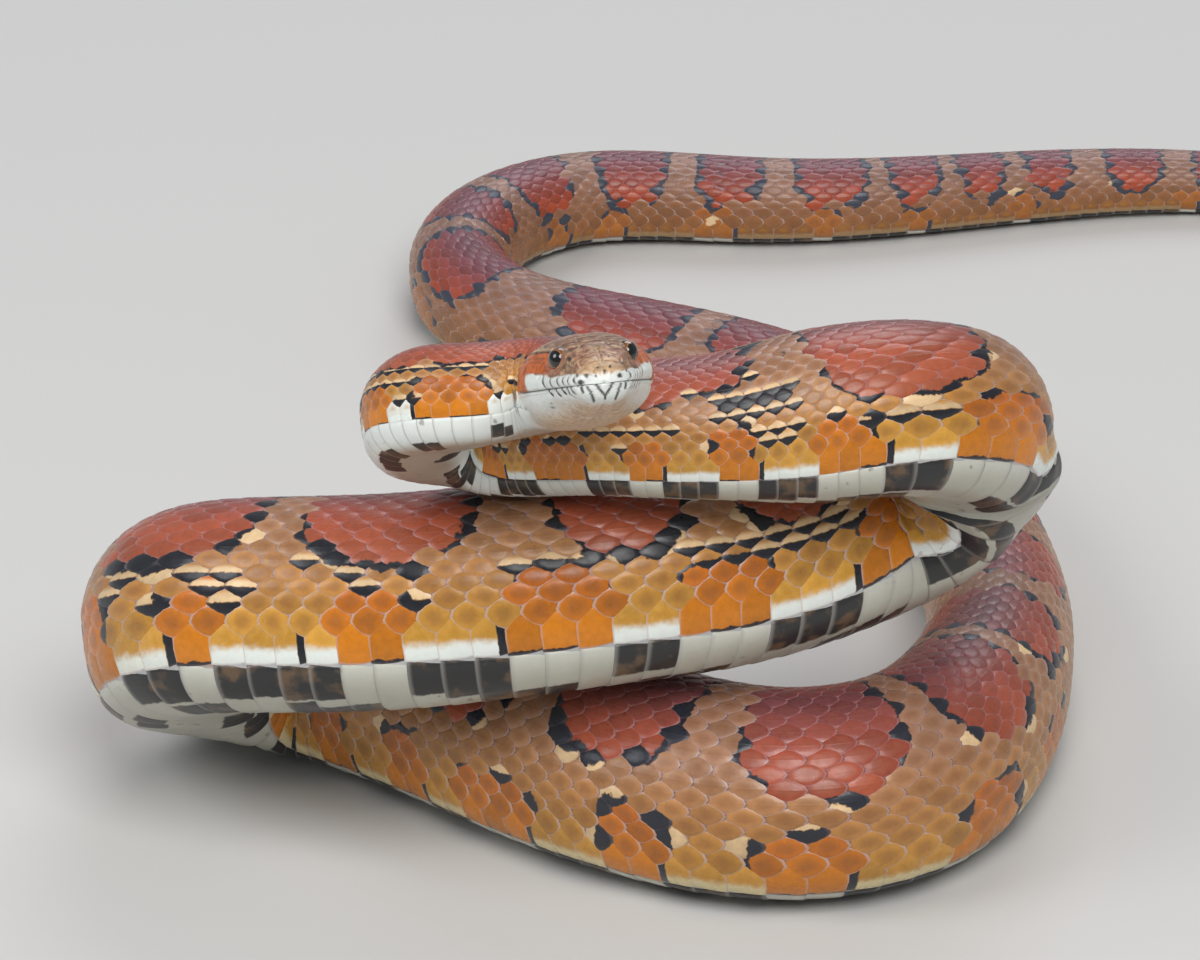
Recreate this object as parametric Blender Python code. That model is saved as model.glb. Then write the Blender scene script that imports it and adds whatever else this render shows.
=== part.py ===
"""A corn snake lying coiled, head raised over its coils, as a life-size still model.

The body is one long loaf-shaped tube swept along a route that is given in millimetres, and parted
by thin cuts into neck, trunk and tail lengths. The head is lofted from its own sections, parted
along the mouth line into head and lower jaw, and each eye is a ball in a socket.
Frame: +Z up, floor at z = 0, the snout points towards -Y, origin under the middle of the whole box.
"""

import math

import bmesh
import bpy
import numpy as np

MM = 0.001
ORIGIN = (43.0, -33.9, 0.0)  # the route's point that becomes x = 0, y = 0, in mm

SIDES = 20  # corners round one body section
STEP = 9.0  # the most mm between body sections
TURN = math.radians(13.0)  # the most that two neighbouring sections turn
CUT = 0.5  # mm of air in each cut between two lengths
CUT_DEPTH = 0.45  # a body corner lower than this over the floor is laid on it, in mm
BELLY_POWER = 3.0  # how square the underside is
CROWN_POWER = 2.0  # the back is an ellipse

# Where the body is cut, in mm along the route from the back of the head.
NECK_CUTS = (0.0, 21.0, 40.0, 84.0)
TRUNK_CUTS = (84.0, 118.0, 140.0, 168.0, 205.0, 245.0, 277.0, 318.0, 350.0, 382.0, 414.0,
              442.0, 476.0, 512.0, 548.0, 584.0, 620.0, 648.0, 694.0, 740.0)
TAIL_CUTS = (740.0, 784.0, 826.0, 866.0)

HEAD_LENGTH = 31.0  # snout tip to the first neck section
HEAD_AXIS_DROP = 0.6  # the mouth line lies this far under the middle of the first neck section
MOUTH_GAP = 0.3  # the thin cut along the mouth line
EYE_RADIUS = 1.85
SOCKET_RADIUS = 2.2
EYE_BEHIND_SNOUT = 9.2
EYE_OVER_MOUTH = 4.0
EYE_FROM_MIDDLE = 4.75

# x, y, z, half width, half height, and the way the back faces, from the snout tip to the tail
# tip. The first HEAD_POINTS lie in the head, on its nearly straight axis.
HEAD_POINTS = 3
ROUTE = (
    (0.5, -171.0, 102.4, 7.6, 6.1, -0.04, 0.0, 1.0),
    (-1.0, -159.8, 96.5, 7.6, 6.1, -0.04, 0.0, 1.0),
    (-2.2, -151.0, 91.8, 7.6, 6.1, -0.04, 0.0, 1.0),
    (-3.1, -143.8, 88.0, 7.6, 6.1, -0.04, 0.0, 1.0),
    (-4.1, -138.2, 85.4, 7.2, 6.4, -0.03, 0.2, 1.0),
    (-6.8, -133.2, 83.0, 7.1, 6.7, 0.0, 0.4, 0.9),
    (-11.6, -131.4, 81.4, 7.3, 7.0, 0.0, 0.5, 0.9),
    (-17.4, -131.8, 80.6, 7.6, 7.4, 0.0, 0.5, 0.9),
    (-23.4, -129.4, 78.6, 7.8, 7.8, -0.1, 0.6, 0.8),
    (-26.1, -124.0, 73.6, 7.8, 8.0, -0.1, 0.9, 0.5),
    (-23.2, -118.7, 69.1, 7.9, 8.1, 0.0, 0.6, 0.8),
    (-15.6, -116.7, 67.0, 8.5, 8.4, 0.0, 0.18, 1.0),
    (-2.5, -120.0, 69.8, 9.3, 9.0, 0.0, -0.03, 1.0),
    (14.1, -121.9, 71.0, 10.3, 9.8, 0.0, 0.04, 1.0),
    (32.0, -118.5, 71.2, 12.4, 12.1, -0.05, 0.2, 0.97),
    (41.1, -116.0, 70.7, 12.6, 12.4, 0.0, 0.3, 0.95),
    (48.4, -111.0, 67.5, 12.3, 12.6, 0.1, 0.42, 0.9),
    (52.7, -104.4, 62.0, 11.9, 12.8, 0.2, 0.65, 0.7),
    (52.5, -99.6, 55.0, 11.6, 12.8, -0.7, 0.58, 0.45),
    (47.8, -97.7, 47.5, 11.6, 12.8, -1.0, 0.18, 0.36),
    (39.9, -99.5, 43.4, 12.4, 13.2, -0.67, 0.28, 0.75),
    (31.6, -104.8, 43.4, 13.6, 13.8, -0.25, 0.36, 0.88),
    (22.5, -110.0, 44.0, 14.4, 14.4, -0.05, 0.33, 0.94),
    (13.5, -113.8, 44.4, 14.8, 14.8, 0.0, 0.3, 0.95),
    (-4.0, -118.6, 44.4, 15.0, 15.0, 0.0, 0.3, 0.95),
    (-26.0, -118.4, 41.4, 15.3, 15.3, 0.0, 0.35, 0.95),
    (-42.4, -114.4, 38.5, 15.4, 15.4, 0.0, 0.38, 0.95),
    (-54.6, -108.4, 34.8, 15.2, 15.4, -0.05, 0.45, 0.9),
    (-60.2, -97.4, 26.6, 15.0, 15.2, -0.1, 0.5, 0.85),
    (-55.0, -87.4, 18.4, 15.2, 14.8, 0.0, 0.35, 0.95),
    (-43.6, -83.6, 14.6, 14.9, 14.4, 0.0, 0.1, 1.0),
    (-26.0, -92.2, 14.2, 15.6, 14.2, 0.0, 0.0, 1.0),
    (-6.5, -108.6, 14.2, 15.8, 14.2, 0.0, 0.0, 1.0),
    (11.0, -120.3, 14.2, 15.8, 14.2, 0.0, 0.0, 1.0),
    (28.0, -124.8, 14.2, 15.5, 14.2, 0.0, 0.0, 1.0),
    (42.0, -119.5, 14.0, 14.7, 14.0, 0.0, 0.0, 1.0),
    (52.0, -104.5, 13.2, 13.3, 13.2, 0.0, 0.0, 1.0),
    (58.8, -76.0, 11.6, 11.2, 11.6, 0.0, 0.0, 1.0),
    (57.8, -47.0, 10.4, 10.3, 10.4, 0.0, 0.0, 1.0),
    (49.5, -17.0, 10.0, 10.0, 10.0, 0.0, 0.0, 1.0),
    (29.0, 11.2, 9.5, 9.6, 9.5, 0.0, 0.0, 1.0),
    (5.5, 26.6, 8.9, 9.1, 8.9, 0.0, 0.0, 1.0),
    (-14.3, 40.3, 8.3, 8.5, 8.3, 0.0, 0.0, 1.0),
    (-22.2, 56.0, 8.0, 8.2, 8.0, 0.0, 0.0, 1.0),
    (-19.2, 73.8, 7.7, 7.9, 7.7, 0.0, 0.0, 1.0),
    (-4.0, 87.6, 7.2, 7.4, 7.2, 0.0, 0.0, 1.0),
    (24.5, 88.3, 6.7, 6.9, 6.7, 0.0, 0.0, 1.0),
    (58.9, 93.0, 5.9, 6.1, 5.9, 0.0, 0.0, 1.0),
    (90.2, 98.7, 5.1, 5.2, 5.1, 0.0, 0.0, 1.0),
    (117.0, 95.7, 4.4, 4.5, 4.4, 0.0, 0.0, 1.0),
    (137.6, 82.6, 3.8, 3.8, 3.8, 0.0, 0.0, 1.0),
    (149.5, 54.0, 3.1, 3.1, 3.1, 0.0, 0.0, 1.0),
    (152.6, 18.0, 2.3, 2.3, 2.3, 0.0, 0.0, 1.0),
    (160.0, -14.0, 1.2, 1.1, 1.1, 0.0, 0.0, 1.0),
)

# Head: mm behind the snout tip, half width, crown over the mouth line, chin under it.
HEAD_STATIONS = (
    (0.0, 1.6, 1.6, 0.9),
    (0.7, 3.0, 2.6, 1.9),
    (2.0, 4.0, 3.5, 2.5),
    (4.0, 4.5, 4.5, 3.0),
    (6.5, 5.2, 5.4, 3.5),
    (9.0, 5.9, 6.2, 3.9),
    (11.5, 6.5, 6.8, 4.2),
    (14.5, 7.6, 7.1, 4.6),
    (17.5, 8.7, 7.2, 4.9),
    (20.5, 9.2, 7.1, 5.1),
    (24.0, 9.0, 6.9, 5.3),
    (27.5, 8.3, 6.8, 5.4),
    (31.0, 7.6, 6.7, 5.5),
)
HEAD_SIDES = 12  # corners over one half section, from mouth corner to mouth corner

COLORS = {
    "back": (0.42, 0.07, 0.04),
    "head": (0.36, 0.17, 0.08),
    "jaw": (0.78, 0.76, 0.70),
    "eye": (0.02, 0.015, 0.01),
}


def unit(vectors):
    """Vectors scaled to length 1."""
    return vectors / np.linalg.norm(vectors, axis=-1, keepdims=True)


def natural_spline(knots, values, places):
    """A curve through every value with continuous curvature, read at the places."""
    gap = np.diff(knots)
    count = len(knots)
    matrix = np.eye(count)
    right = np.zeros_like(values)
    slope = np.diff(values, axis=0) / gap[:, None]
    for i in range(1, count - 1):
        matrix[i, i - 1:i + 2] = gap[i - 1], 2 * (gap[i - 1] + gap[i]), gap[i]
        right[i] = 6 * (slope[i] - slope[i - 1])
    bend = np.linalg.solve(matrix, right)
    i = np.clip(np.searchsorted(knots, places) - 1, 0, count - 2)
    wide = gap[i][:, None]
    ahead = (knots[i + 1] - places)[:, None]
    behind = (places - knots[i])[:, None]
    return (
        (bend[i] * ahead**3 + bend[i + 1] * behind**3) / (6 * wide)
        + (values[i] / wide - bend[i] * wide / 6) * ahead
        + (values[i + 1] / wide - bend[i + 1] * wide / 6) * behind
    )


def gentle(knots, values, places):
    """A curve through the values that never swings past them, read at the places."""
    rise = np.diff(values) / np.diff(knots)
    slope = np.zeros(len(knots))
    slope[0], slope[-1] = rise[0], rise[-1]
    for i in range(1, len(knots) - 1):
        if rise[i - 1] * rise[i] > 0:
            slope[i] = 2 * rise[i - 1] * rise[i] / (rise[i - 1] + rise[i])
    i = np.clip(np.searchsorted(knots, places) - 1, 0, len(knots) - 2)
    gap = knots[i + 1] - knots[i]
    u = (places - knots[i]) / gap
    return (
        (2 * u**3 - 3 * u**2 + 1) * values[i]
        + (u**3 - 2 * u**2 + u) * gap * slope[i]
        + (3 * u**2 - 2 * u**3) * values[i + 1]
        + (u**3 - u**2) * gap * slope[i + 1]
    )


class Body:
    """The centreline with its half sizes and directions, by arc length in mm."""

    def __init__(self):
        table = np.array(ROUTE)
        table[:, :3] -= ORIGIN
        chord = np.linalg.norm(np.diff(table[:, :3], axis=0), axis=1)
        knots = np.concatenate([[0.0], np.cumsum(chord)])
        fine = np.linspace(0, knots[-1], 6000)
        line = natural_spline(knots, table[:, :3], fine)
        length = np.linalg.norm(np.diff(line, axis=0), axis=1)
        run = np.concatenate([[0.0], np.cumsum(length)])
        run -= np.interp(knots[HEAD_POINTS], fine, run)
        self.run = run
        self.line = line
        self.along = unit(np.gradient(line, axis=0))
        self.width = gentle(knots, table[:, 3], fine)
        self.height = gentle(knots, table[:, 4], fine)
        self.back = np.stack([gentle(knots, table[:, k], fine) for k in (5, 6, 7)], axis=1)
        self.end = run[-1]

    def frame(self, s):
        """Middle, tangent towards the tail, back direction, left direction and half sizes at s."""
        read = [np.interp(s, self.run, self.line[:, k]) for k in range(3)]
        middle = np.array(read)
        along = unit(np.array([np.interp(s, self.run, self.along[:, k]) for k in range(3)]))
        back = np.array([np.interp(s, self.run, self.back[:, k]) for k in range(3)])
        back = unit(back - back @ along * along)
        left = np.cross(along, back)
        width = float(np.interp(s, self.run, self.width))
        height = float(np.interp(s, self.run, self.height))
        return middle, along, back, left, width, height

    def turned(self, start, end):
        """How far the tangent turns in all between two places, in radians."""
        inside = self.along[(self.run >= start) & (self.run <= end)]
        return float(np.linalg.norm(np.diff(inside, axis=0), axis=1).sum())


def loaf(sides):
    """A unit section, round from mid-back by the left: flat-bellied below, elliptic above."""
    turn = np.arange(sides) * 2 * math.pi / sides
    up, side = np.cos(turn), np.sin(turn)
    share = np.clip(0.5 - 1.2 * up, 0, 1)
    power = CROWN_POWER + (BELLY_POWER - CROWN_POWER) * share**2 * (3 - 2 * share)
    reach = (np.abs(up) ** power + np.abs(side) ** power) ** (-1 / power)
    return reach * side, reach * up


def body_ring(body, s):
    """The corners of the body's section at s, in mm, laid flat where they all but touch the floor."""
    middle, _, back, left, width, height = body.frame(s)
    side, up = loaf(SIDES)
    ring = middle + np.outer(side * width, left) + np.outer(up * height, back)
    ring[ring[:, 2] < CUT_DEPTH, 2] = 0.0
    return ring


def material(name, color, roughness):
    """A Principled material of one colour."""
    made = bpy.data.materials.new(name)
    made.use_nodes = True
    shader = made.node_tree.nodes["Principled BSDF"]
    shader.inputs["Base Color"].default_value = (*color, 1.0)
    shader.inputs["Roughness"].default_value = roughness
    shader.inputs["Metallic"].default_value = 0.0
    return made


def loft(name, rings, finish):
    """One closed object from rings of equal count, bridged in order and capped at both ends."""
    shape = bmesh.new()
    loops = [[shape.verts.new(corner * MM) for corner in ring] for ring in rings]
    count = len(loops[0])
    for first, second in zip(loops, loops[1:]):
        for i in range(count):
            j = (i + 1) % count
            shape.faces.new((first[i], first[j], second[j], second[i]))
    shape.faces.new(list(reversed(loops[0])))
    shape.faces.new(loops[-1])
    bmesh.ops.recalc_face_normals(shape, faces=shape.faces[:])
    bmesh.ops.triangulate(shape, faces=shape.faces[:])
    mesh = bpy.data.meshes.new(name)
    shape.to_mesh(mesh)
    shape.free()
    mesh.materials.append(finish)
    made = bpy.data.objects.new(name, mesh)
    bpy.context.scene.collection.objects.link(made)
    return made


def body_length(body, name, start, end, finish):
    """One length of the body between two cuts."""
    turned = body.turned(start, end)
    count = 1 + max(2, math.ceil((end - start) / STEP), math.ceil(turned / TURN))
    places = np.linspace(start + CUT / 2, end - CUT / 2, count)
    return loft(name, [body_ring(body, s) for s in places], finish)


def body_lengths(body, finish):
    """Neck, trunk and tail lengths, from the head back."""
    cuts = {"neck": NECK_CUTS, "trunk": TRUNK_CUTS, "tail": (*TAIL_CUTS, body.end + CUT / 2)}
    for part, marks in cuts.items():
        for number, (start, end) in enumerate(zip(marks, marks[1:]), start=1):
            body_length(body, f"{part}_{number}", start, end, finish)


def head_point(body, behind, across, over):
    """World mm of a point given behind the snout, to the snake's left and over the mouth line."""
    middle, _, back, left, _, _ = body.frame(behind - HEAD_LENGTH)
    return middle + left * across + back * (over - HEAD_AXIS_DROP)


def half_section(wide, high, flat, sign):
    """Across and over of the corners of an upper (sign 1) or lower (sign -1) half section."""
    turn = np.linspace(0, math.pi, HEAD_SIDES)
    across = np.cos(turn) * wide
    power = 2.4 if sign > 0 else 2.2
    over = (1 - np.abs(np.cos(turn)) ** power) ** (1 / power) * (high - flat) + flat
    return list(zip(across, sign * over))


def head_half(body, name, sign, finish):
    """The head above the mouth line, or the jaw and throat below it."""
    rings = []
    for behind, wide, crown, chin in HEAD_STATIONS:
        if sign < 0:
            wide *= 0.94 if behind < 20 else 0.94 + 0.06 * (behind - 20) / 11
            behind = min(behind + 0.5 * (1 - behind / HEAD_LENGTH), HEAD_LENGTH)
        high = crown if sign > 0 else chin
        corners = half_section(wide, high, MOUTH_GAP / 2, sign)
        rings.append([head_point(body, behind, across, over) for across, over in corners])
    return loft(name, np.array(rings), finish)


def eye_middle(body, side):
    return head_point(body, EYE_BEHIND_SNOUT, side * EYE_FROM_MIDDLE, EYE_OVER_MOUTH)


def ball(name, middle, radius, finish):
    """A faceted ball; middle and radius in mm."""
    shape = bmesh.new()
    bmesh.ops.create_icosphere(shape, subdivisions=3, radius=radius * MM)
    bmesh.ops.translate(shape, verts=shape.verts, vec=middle * MM)
    mesh = bpy.data.meshes.new(name)
    shape.to_mesh(mesh)
    shape.free()
    mesh.shade_smooth()
    mesh.materials.append(finish)
    made = bpy.data.objects.new(name, mesh)
    bpy.context.scene.collection.objects.link(made)
    return made


def eyes(body, head, finish):
    """Both eyes, each in a socket cut a little wider than the eye."""
    for side, word in ((1, "left"), (-1, "right")):
        middle = eye_middle(body, side)
        ball(f"eye_{word}", middle, EYE_RADIUS, finish)
        cutter = ball(f"socket_{word}", middle, SOCKET_RADIUS, finish)
        cutter.hide_render = True
        cutter.hide_viewport = True
        cutter.display_type = "WIRE"
        cut = head.modifiers.new(f"socket_{word}", "BOOLEAN")
        cut.operation = "DIFFERENCE"
        cut.solver = "EXACT"
        cut.object = cutter


def clear_scene():
    for thing in list(bpy.data.objects):
        bpy.data.objects.remove(thing)


def main():
    clear_scene()
    body = Body()
    back = material("scaled_back", COLORS["back"], 0.4)
    crown = material("head_plates", COLORS["head"], 0.38)
    jaw = material("lip_and_throat", COLORS["jaw"], 0.42)
    eye = material("eye", COLORS["eye"], 0.08)
    body_lengths(body, back)
    head = head_half(body, "head", 1, crown)
    head_half(body, "lower_jaw", -1, jaw)
    eyes(body, head, eye)


main()
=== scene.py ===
"""Looks of a coiled corn snake: skin, scales, belly scutes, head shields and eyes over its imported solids."""

import enum
import logging
import math
from dataclasses import dataclass
from typing import ClassVar

import bpy
import numpy as np
from bpy import types
from mathutils import Matrix


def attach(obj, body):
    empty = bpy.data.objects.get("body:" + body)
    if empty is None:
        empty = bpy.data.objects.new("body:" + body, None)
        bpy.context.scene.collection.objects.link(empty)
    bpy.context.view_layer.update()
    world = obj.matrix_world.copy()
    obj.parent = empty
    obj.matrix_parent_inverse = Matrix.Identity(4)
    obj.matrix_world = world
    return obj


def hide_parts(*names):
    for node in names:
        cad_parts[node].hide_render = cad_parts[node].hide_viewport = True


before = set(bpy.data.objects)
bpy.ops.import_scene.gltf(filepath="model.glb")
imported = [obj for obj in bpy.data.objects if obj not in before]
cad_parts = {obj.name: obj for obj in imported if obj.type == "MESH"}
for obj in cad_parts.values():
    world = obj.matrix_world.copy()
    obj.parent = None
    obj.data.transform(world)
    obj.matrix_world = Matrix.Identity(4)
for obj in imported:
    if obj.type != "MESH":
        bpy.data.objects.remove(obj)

LOG = logging.getLogger("corn_snake")
MM = 0.001
ORIGIN = (43.0, -33.9, 0.0)  # the route's point that lies at x = 0, y = 0, in mm

HEAD_LENGTH = 31.0  # snout tip to the first neck section, in mm
HEAD_AXIS_DROP = 0.6  # the mouth line lies this far under the neck's middle
BELLY_POWER = 3.0
CROWN_POWER = 2.0
HEAD_POINTS = 3
VENT = 740.0  # where the trunk ends and the tail starts, in mm behind the head
BELLY_EDGE = 116.0  # where the scale rows meet the belly scutes on the raised coils, in degrees from mid-back
LOW_COIL_DROP = 15.0  # degrees that this edge lies lower on the coils that rest on the floor
NO_SEAM = 9.0  # mm, read where no seam is near
NO_MARK = -99.0  # mm, read where no mark is near
CHUNK = 2000  # points compared at once, to spare memory
UV_NAME = "OFBake"
STRIPS, STRIP_LENGTH = 5, 190.0  # the flat chart: how many strips of the body it has, and mm in each
STRIP_HEIGHT = 0.92  # the share of a strip's height that the chart fills

# x, y, z, half width, half height and the way the back faces (up, where not given), from snout to tail tip, in mm.
ROUTE = (
    (0.5, -171.0, 102.4, 7.6, 6.1, -0.04, 0.0, 1.0),
    (-1.0, -159.8, 96.5, 7.6, 6.1, -0.04, 0.0, 1.0),
    (-2.2, -151.0, 91.8, 7.6, 6.1, -0.04, 0.0, 1.0),
    (-3.1, -143.8, 88.0, 7.6, 6.1, -0.04, 0.0, 1.0),
    (-4.1, -138.2, 85.4, 7.2, 6.4, -0.03, 0.2, 1.0),
    (-6.8, -133.2, 83.0, 7.1, 6.7, 0.0, 0.4, 0.9),
    (-11.6, -131.4, 81.4, 7.3, 7.0, 0.0, 0.5, 0.9),
    (-17.4, -131.8, 80.6, 7.6, 7.4, 0.0, 0.5, 0.9),
    (-23.4, -129.4, 78.6, 7.8, 7.8, -0.1, 0.6, 0.8),
    (-26.1, -124.0, 73.6, 7.8, 8.0, -0.1, 0.9, 0.5),
    (-23.2, -118.7, 69.1, 7.9, 8.1, 0.0, 0.6, 0.8),
    (-15.6, -116.7, 67.0, 8.5, 8.4, 0.0, 0.18, 1.0),
    (-2.5, -120.0, 69.8, 9.3, 9.0, 0.0, -0.03, 1.0),
    (14.1, -121.9, 71.0, 10.3, 9.8, 0.0, 0.04, 1.0),
    (32.0, -118.5, 71.2, 12.4, 12.1, -0.05, 0.2, 0.97),
    (41.1, -116.0, 70.7, 12.6, 12.4, 0.0, 0.3, 0.95),
    (48.4, -111.0, 67.5, 12.3, 12.6, 0.1, 0.42, 0.9),
    (52.7, -104.4, 62.0, 11.9, 12.8, 0.2, 0.65, 0.7),
    (52.5, -99.6, 55.0, 11.6, 12.8, -0.7, 0.58, 0.45),
    (47.8, -97.7, 47.5, 11.6, 12.8, -1.0, 0.18, 0.36),
    (39.9, -99.5, 43.4, 12.4, 13.2, -0.67, 0.28, 0.75),
    (31.6, -104.8, 43.4, 13.6, 13.8, -0.25, 0.36, 0.88),
    (22.5, -110.0, 44.0, 14.4, 14.4, -0.05, 0.33, 0.94),
    (13.5, -113.8, 44.4, 14.8, 14.8, 0.0, 0.3, 0.95),
    (-4.0, -118.6, 44.4, 15.0, 15.0, 0.0, 0.3, 0.95),
    (-26.0, -118.4, 41.4, 15.3, 15.3, 0.0, 0.35, 0.95),
    (-42.4, -114.4, 38.5, 15.4, 15.4, 0.0, 0.38, 0.95),
    (-54.6, -108.4, 34.8, 15.2, 15.4, -0.05, 0.45, 0.9),
    (-60.2, -97.4, 26.6, 15.0, 15.2, -0.1, 0.5, 0.85),
    (-55.0, -87.4, 18.4, 15.2, 14.8, 0.0, 0.35, 0.95),
    (-43.6, -83.6, 14.6, 14.9, 14.4, 0.0, 0.1, 1.0),
    (-26.0, -92.2, 14.2, 15.6, 14.2),
    (-6.5, -108.6, 14.2, 15.8, 14.2),
    (11.0, -120.3, 14.2, 15.8, 14.2),
    (28.0, -124.8, 14.2, 15.5, 14.2),
    (42.0, -119.5, 14.0, 14.7, 14.0),
    (52.0, -104.5, 13.2, 13.3, 13.2),
    (58.8, -76.0, 11.6, 11.2, 11.6),
    (57.8, -47.0, 10.4, 10.3, 10.4),
    (49.5, -17.0, 10.0, 10.0, 10.0),
    (29.0, 11.2, 9.5, 9.6, 9.5),
    (5.5, 26.6, 8.9, 9.1, 8.9),
    (-14.3, 40.3, 8.3, 8.5, 8.3),
    (-22.2, 56.0, 8.0, 8.2, 8.0),
    (-19.2, 73.8, 7.7, 7.9, 7.7),
    (-4.0, 87.6, 7.2, 7.4, 7.2),
    (24.5, 88.3, 6.7, 6.9, 6.7),
    (58.9, 93.0, 5.9, 6.1, 5.9),
    (90.2, 98.7, 5.1, 5.2, 5.1),
    (117.0, 95.7, 4.4, 4.5, 4.4),
    (137.6, 82.6, 3.8, 3.8, 3.8),
    (149.5, 54.0, 3.1, 3.1, 3.1),
    (152.6, 18.0, 2.3, 2.3, 2.3),
    (160.0, -14.0, 1.2, 1.1, 1.1),
)

# Head: mm behind the snout tip, half width, crown over the mouth line, chin under it.
HEAD_STATIONS = (
    (-0.3, 0.02, 0.02, 0.02), (-0.15, 1.0, 0.9, 0.5),
    (0.0, 1.6, 1.6, 0.9), (0.7, 3.0, 2.6, 1.9), (2.0, 4.0, 3.5, 2.5), (4.0, 4.5, 4.5, 3.0),
    (6.5, 5.2, 5.4, 3.5), (9.0, 5.9, 6.2, 3.9), (11.5, 6.5, 6.8, 4.2), (14.5, 7.6, 7.1, 4.6),
    (17.5, 8.7, 7.2, 4.9), (20.5, 9.2, 7.1, 5.1), (24.0, 9.0, 6.9, 5.3), (27.5, 8.3, 6.8, 5.4),
    (31.0, 7.6, 6.7, 5.5),
)

Array = np.ndarray
Table = tuple[tuple[float, ...], ...]
Color = tuple[float, float, float]


class Side(enum.Enum):
    """The two sides of the snake, by the sign of its left direction."""

    LEFT = 1
    RIGHT = -1


class Slot(enum.Enum):
    """The record's material slots."""

    SKIN = "scaled_skin"
    PLATES = "head_plates"
    LIPS = "lip_and_throat"
    EYE = "eye"


def unit(vectors: Array) -> Array:
    """Vectors scaled to length 1."""
    return vectors / np.linalg.norm(vectors, axis=-1, keepdims=True)


def step(low: float, high: float, value: Array) -> Array:
    """A smooth rise from 0 at low to 1 at high."""
    share = np.clip((value - low) / (high - low), 0, 1)
    return share * share * (3 - 2 * share)


def fall(low: float, high: float, value: Array) -> Array:
    """A smooth fall from 1 at low to 0 at high."""
    return 1 - step(low, high, value)


def superellipse(up: Array, side: Array, power: Array) -> Array:
    """How far the outline of half sizes 1 x 1 reaches in a direction; a power over 2 makes it squarer."""
    return (np.abs(up) ** power + np.abs(side) ** power) ** (-1 / power)


def bump(value: Array, middle: float, width: float) -> Array:
    """A bell of height 1 round the middle."""
    return np.exp(-(((value - middle) / width) ** 2))


def natural_spline(knots: Array, values: Array, places: Array) -> Array:
    """A curve through every value with continuous curvature.

    Args:
        knots: rising parameter of each value.
        values: one row per knot.
        places: where the curve is read.

    Returns:
        One row per place.
    """
    gap = np.diff(knots)
    count = len(knots)
    matrix = np.eye(count)
    right = np.zeros_like(values)
    slope = np.diff(values, axis=0) / gap[:, None]
    for i in range(1, count - 1):
        matrix[i, i - 1:i + 2] = gap[i - 1], 2 * (gap[i - 1] + gap[i]), gap[i]
        right[i] = 6 * (slope[i] - slope[i - 1])
    bend = np.linalg.solve(matrix, right)
    i = np.clip(np.searchsorted(knots, places) - 1, 0, count - 2)
    wide = gap[i][:, None]
    ahead = (knots[i + 1] - places)[:, None]
    behind = (places - knots[i])[:, None]
    return (
        (bend[i] * ahead**3 + bend[i + 1] * behind**3) / (6 * wide)
        + (values[i] / wide - bend[i] * wide / 6) * ahead
        + (values[i + 1] / wide - bend[i + 1] * wide / 6) * behind
    )


def gentle(knots: Array, values: Array, places: Array) -> Array:
    """A curve through the values that never swings past them.

    Args:
        knots: rising parameter of each value.
        values: one number per knot.
        places: where the curve is read.

    Returns:
        One number per place.
    """
    rise = np.diff(values) / np.diff(knots)
    slope = np.zeros(len(knots))
    slope[0], slope[-1] = rise[0], rise[-1]
    for i in range(1, len(knots) - 1):
        if rise[i - 1] * rise[i] > 0:
            slope[i] = 2 * rise[i - 1] * rise[i] / (rise[i - 1] + rise[i])
    places = np.clip(places, knots[0], knots[-1])
    i = np.clip(np.searchsorted(knots, places) - 1, 0, len(knots) - 2)
    gap = knots[i + 1] - knots[i]
    u = (places - knots[i]) / gap
    return (
        (2 * u**3 - 3 * u**2 + 1) * values[i]
        + (u**3 - 2 * u**2 + u) * gap * slope[i]
        + (3 * u**2 - 2 * u**3) * values[i + 1]
        + (u**3 - u**2) * gap * slope[i + 1]
    )


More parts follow.
